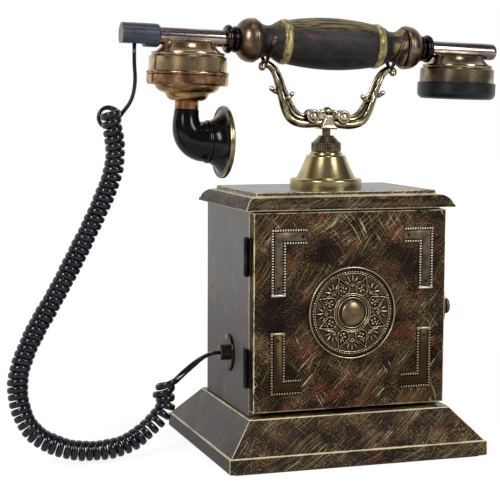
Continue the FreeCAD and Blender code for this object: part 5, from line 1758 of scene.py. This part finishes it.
@dataclass
class HandsetCord:
    """Curly cord from the plug to the grommet, one flat cord from end to end."""

    width: float = 4.35
    thickness: float = 2.7
    squareness: float = 0.88
    coil_r: float = 5.75
    turns: float = 72.264
    wide_ends: float = 1.05
    tightest: float = 0.46
    points_per_turn: int = 14
    first_deg: float = 5.0
    steps: int = 3
    middle_steps: int = 24
    section_points: int = 16
    edge_on: Point3 = (0.95, -0.31, 0.0)
    radius_waves: tuple[Point3, ...] = ((0.025, 1.7, 0.0), (0.02, 0.61, 1.0))
    slip_waves: tuple[Point3, ...] = ((0.12, 0.83, 0.0), (0.1, 2.1, 0.5))
    loose_loop: Point3 = (1.0, 9.8, -4.3)
    loop_until: float = 1.2
    loop_ease: float = 0.7
    loop_rise: float = 5.4
    loop_tip_deg: float = 84.0
    loop_growth: float = 0.2
    end_turns: float = 2.6
    end_growth: float = 0.1
    end_out: float = 3.0
    end_pull: float = 0.6
    pull_turns: float = 2.5
    heel_mm: float = 1.2
    heel_turns: float = 2.4
    heel_ease: float = 1.2
    upper_lead: tuple[Point3, ...] = (
        (-137.55, 0.0, 283.19), (-137.93, 0.0, 271.20), (-136.90, 0.0, 259.80), (-137.90, 0.5, 250.40),
        (-139.80, 2.8, 243.60), (-143.20, 6.6, 238.20))
    curl: tuple[Point3, ...] = (
        (-155.0, 0.0, 243.0), (-153.6, 0.0, 229.2), (-150.6, 0.0, 213.0), (-152.6, -1.0, 196.0),
        (-161.5, -2.0, 175.0), (-176.5, -4.0, 146.0), (-193.0, -6.0, 116.0), (-211.6, -9.0, 87.0),
        (-223.6, -12.0, 57.0), (-215.5, -14.0, 25.0), (-191.0, -15.0, 11.0), (-168.0, -14.0, 8.0),
        (-146.0, -11.0, 10.2), (-129.0, -5.5, 20.5), (-118.0, -2.5, 30.6), (-114.2, 0.0, 40.4),
        (-115.2, 0.0, 51.6))
    lower_lead: tuple[Point3, ...] = (
        (-111.0, -4.6, 51.0), (-106.0, -2.2, 54.6), (-99.0, -0.5, 59.6), (-92.6, 0.0, 64.2),
        (-87.5, 0.0, 67.2), (-82.0, 0.0, 69.0), (-77.6, 0.0, 69.0))
    lower_ways: tuple[Point3, ...] = (
        (0, -1, 0.2), (0, -0.9, 0.4), (0, -0.8, 0.6), (0, -0.3, 1), (0, 0, 1), (0, 0, 1), (0, 0, 1))

    def build(self) -> None:
        """Sweeps the cord's section along its line and hangs it between handset and cabinet."""
        knots, thin_ways = self.knots()
        line = smooth_line(knots, self.steps)
        guide = smooth_line([knot + way for knot, way in zip(knots, thin_ways)], self.steps)
        draft = Draft()
        draft.rings(self.sections(line, guide))
        piece = draft.piece("handset_cord")
        piece.data.materials.append(CORD_SKIN.material())
        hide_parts("cord_upper_lead", "cord_curl", "cord_lower_lead")
        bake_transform(piece)
        path = [point * MM for point in line]
        length = sum((b - a).length for a, b in zip(path, path[1:]))
        LOG.info("handset_cord, %.3f m long", length)

    def knots(self) -> tuple[list[Vector], list[Vector]]:
        """Control points of the whole cord, and the direction of its thin side at each."""
        knots = [Vector(point) for point in self.upper_lead]
        thin_ways = [Vector(self.edge_on)] * len(knots)
        middle = smooth_line([Vector(point) for point in self.curl], self.middle_steps)
        sides = carried_sides(middle, ACROSS)
        ways = headings(middle)
        run = [0.0]
        for a, b in zip(middle, middle[1:]):
            run.append(run[-1] + (b - a).length)
        count = round(self.turns * self.points_per_turn)
        first = math.tan(self.wide_ends * self.tightest)
        last = math.tan(self.wide_ends * (1 - self.tightest))
        at = 0
        for k in range(count + 1):
            share = k / count
            want = run[-1] * (math.tan(self.wide_ends * (share - self.tightest)) + first) / (first + last)
            while at < len(run) - 2 and run[at + 1] < want:
                at += 1
            part = (want - run[at]) / (run[at + 1] - run[at])
            place = middle[at].lerp(middle[at + 1], part)
            side = sides[at].lerp(sides[at + 1], part).normalized()
            over = ways[at].cross(side).normalized()
            turn = self.turns * share
            shape = self.shape(turn)
            over = over * math.cos(shape.tip) + ways[at] * math.sin(shape.tip)
            angle = math.radians(self.first_deg) + math.tau * turn
            out = side * math.cos(angle) + over * math.sin(angle)
            slip = shape.slip_mm + shape.heel_mm * out.x
            knots.append(place + out * (self.coil_r * shape.radius) + ways[at] * slip + shape.shift_mm)
            thin_ways.append(out)
        knots.extend(Vector(point) for point in self.lower_lead)
        thin_ways.extend(Vector(way) for way in self.lower_ways)
        return knots, thin_ways

    @staticmethod
    def waves(terms: Sequence[Point3], turn: float) -> float:
        """Sum of waves along the curl, each given by its size, its rate and its start."""
        return sum(size * math.sin(rate * turn + start) for size, rate, start in terms)

    def shape(self, turn: float) -> TurnShape:
        """How far a turn departs from an even curl.

        Args:
            turn: turns from the upper end.

        Returns:
            Its shape: the first turn has fallen over behind the curl, the last two slope and stand out.
        """
        left = self.turns - turn
        fallen = eased((self.loop_until - turn) / self.loop_ease)
        out_left = math.sin(math.pi * min(max(1.0 - left / self.end_turns, 0.0), 1.0))
        radius = 1.0 + self.waves(self.radius_waves, turn)
        radius = radius + self.loop_growth * fallen + self.end_growth * out_left
        slip = self.waves(self.slip_waves, turn) * (1.0 - fallen)
        slip = slip + max(0.0, self.loop_rise - self.loop_rise * turn)
        slip = slip - self.end_pull * max(0.0, self.pull_turns - left)
        heel = self.heel_mm * eased((self.heel_turns - left) / self.heel_ease)
        shift = Vector(self.loose_loop) * fallen + Vector((-self.end_out * out_left, 0.0, 0.0))
        return TurnShape(radius, slip, math.radians(self.loop_tip_deg) * fallen, heel, shift)

    def sections(self, line: Sequence[Vector], guide: Sequence[Vector]) -> list[list[Vector]]:
        """Flat sections with rounded corners along the line, thin towards the guide."""
        rows = []
        for point, mark, way in zip(line, guide, headings(line)):
            thin = mark - point
            thin = (thin - way * thin.dot(way)).normalized() * (self.thickness / 2)
            wide = way.cross(thin).normalized() * (self.width / 2)
            rows.append([point + wide * self.oblong(math.cos(angle)) + thin * self.oblong(math.sin(angle))
                         for angle in around(self.section_points)])
        return rows

    def oblong(self, value: float) -> float:
        """A circle's coordinate drawn out towards the corners of an oblong."""
        return math.copysign(abs(value) ** self.squareness, value)


def main() -> None:
    """Builds the studio, then the telephone from its foot up."""
    logging.basicConfig(level=logging.INFO, format="%(name)s: %(message)s")
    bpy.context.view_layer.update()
    Studio().build()
    HandsetCord().build()
    Underside().build()
    Cabinet().build()
    Door().build()
    Dial().build()
    Workings().build()
    cradle = Cradle()
    cradle.build()
    Handset().build(cradle)


if __name__ == "__main__":
    main()
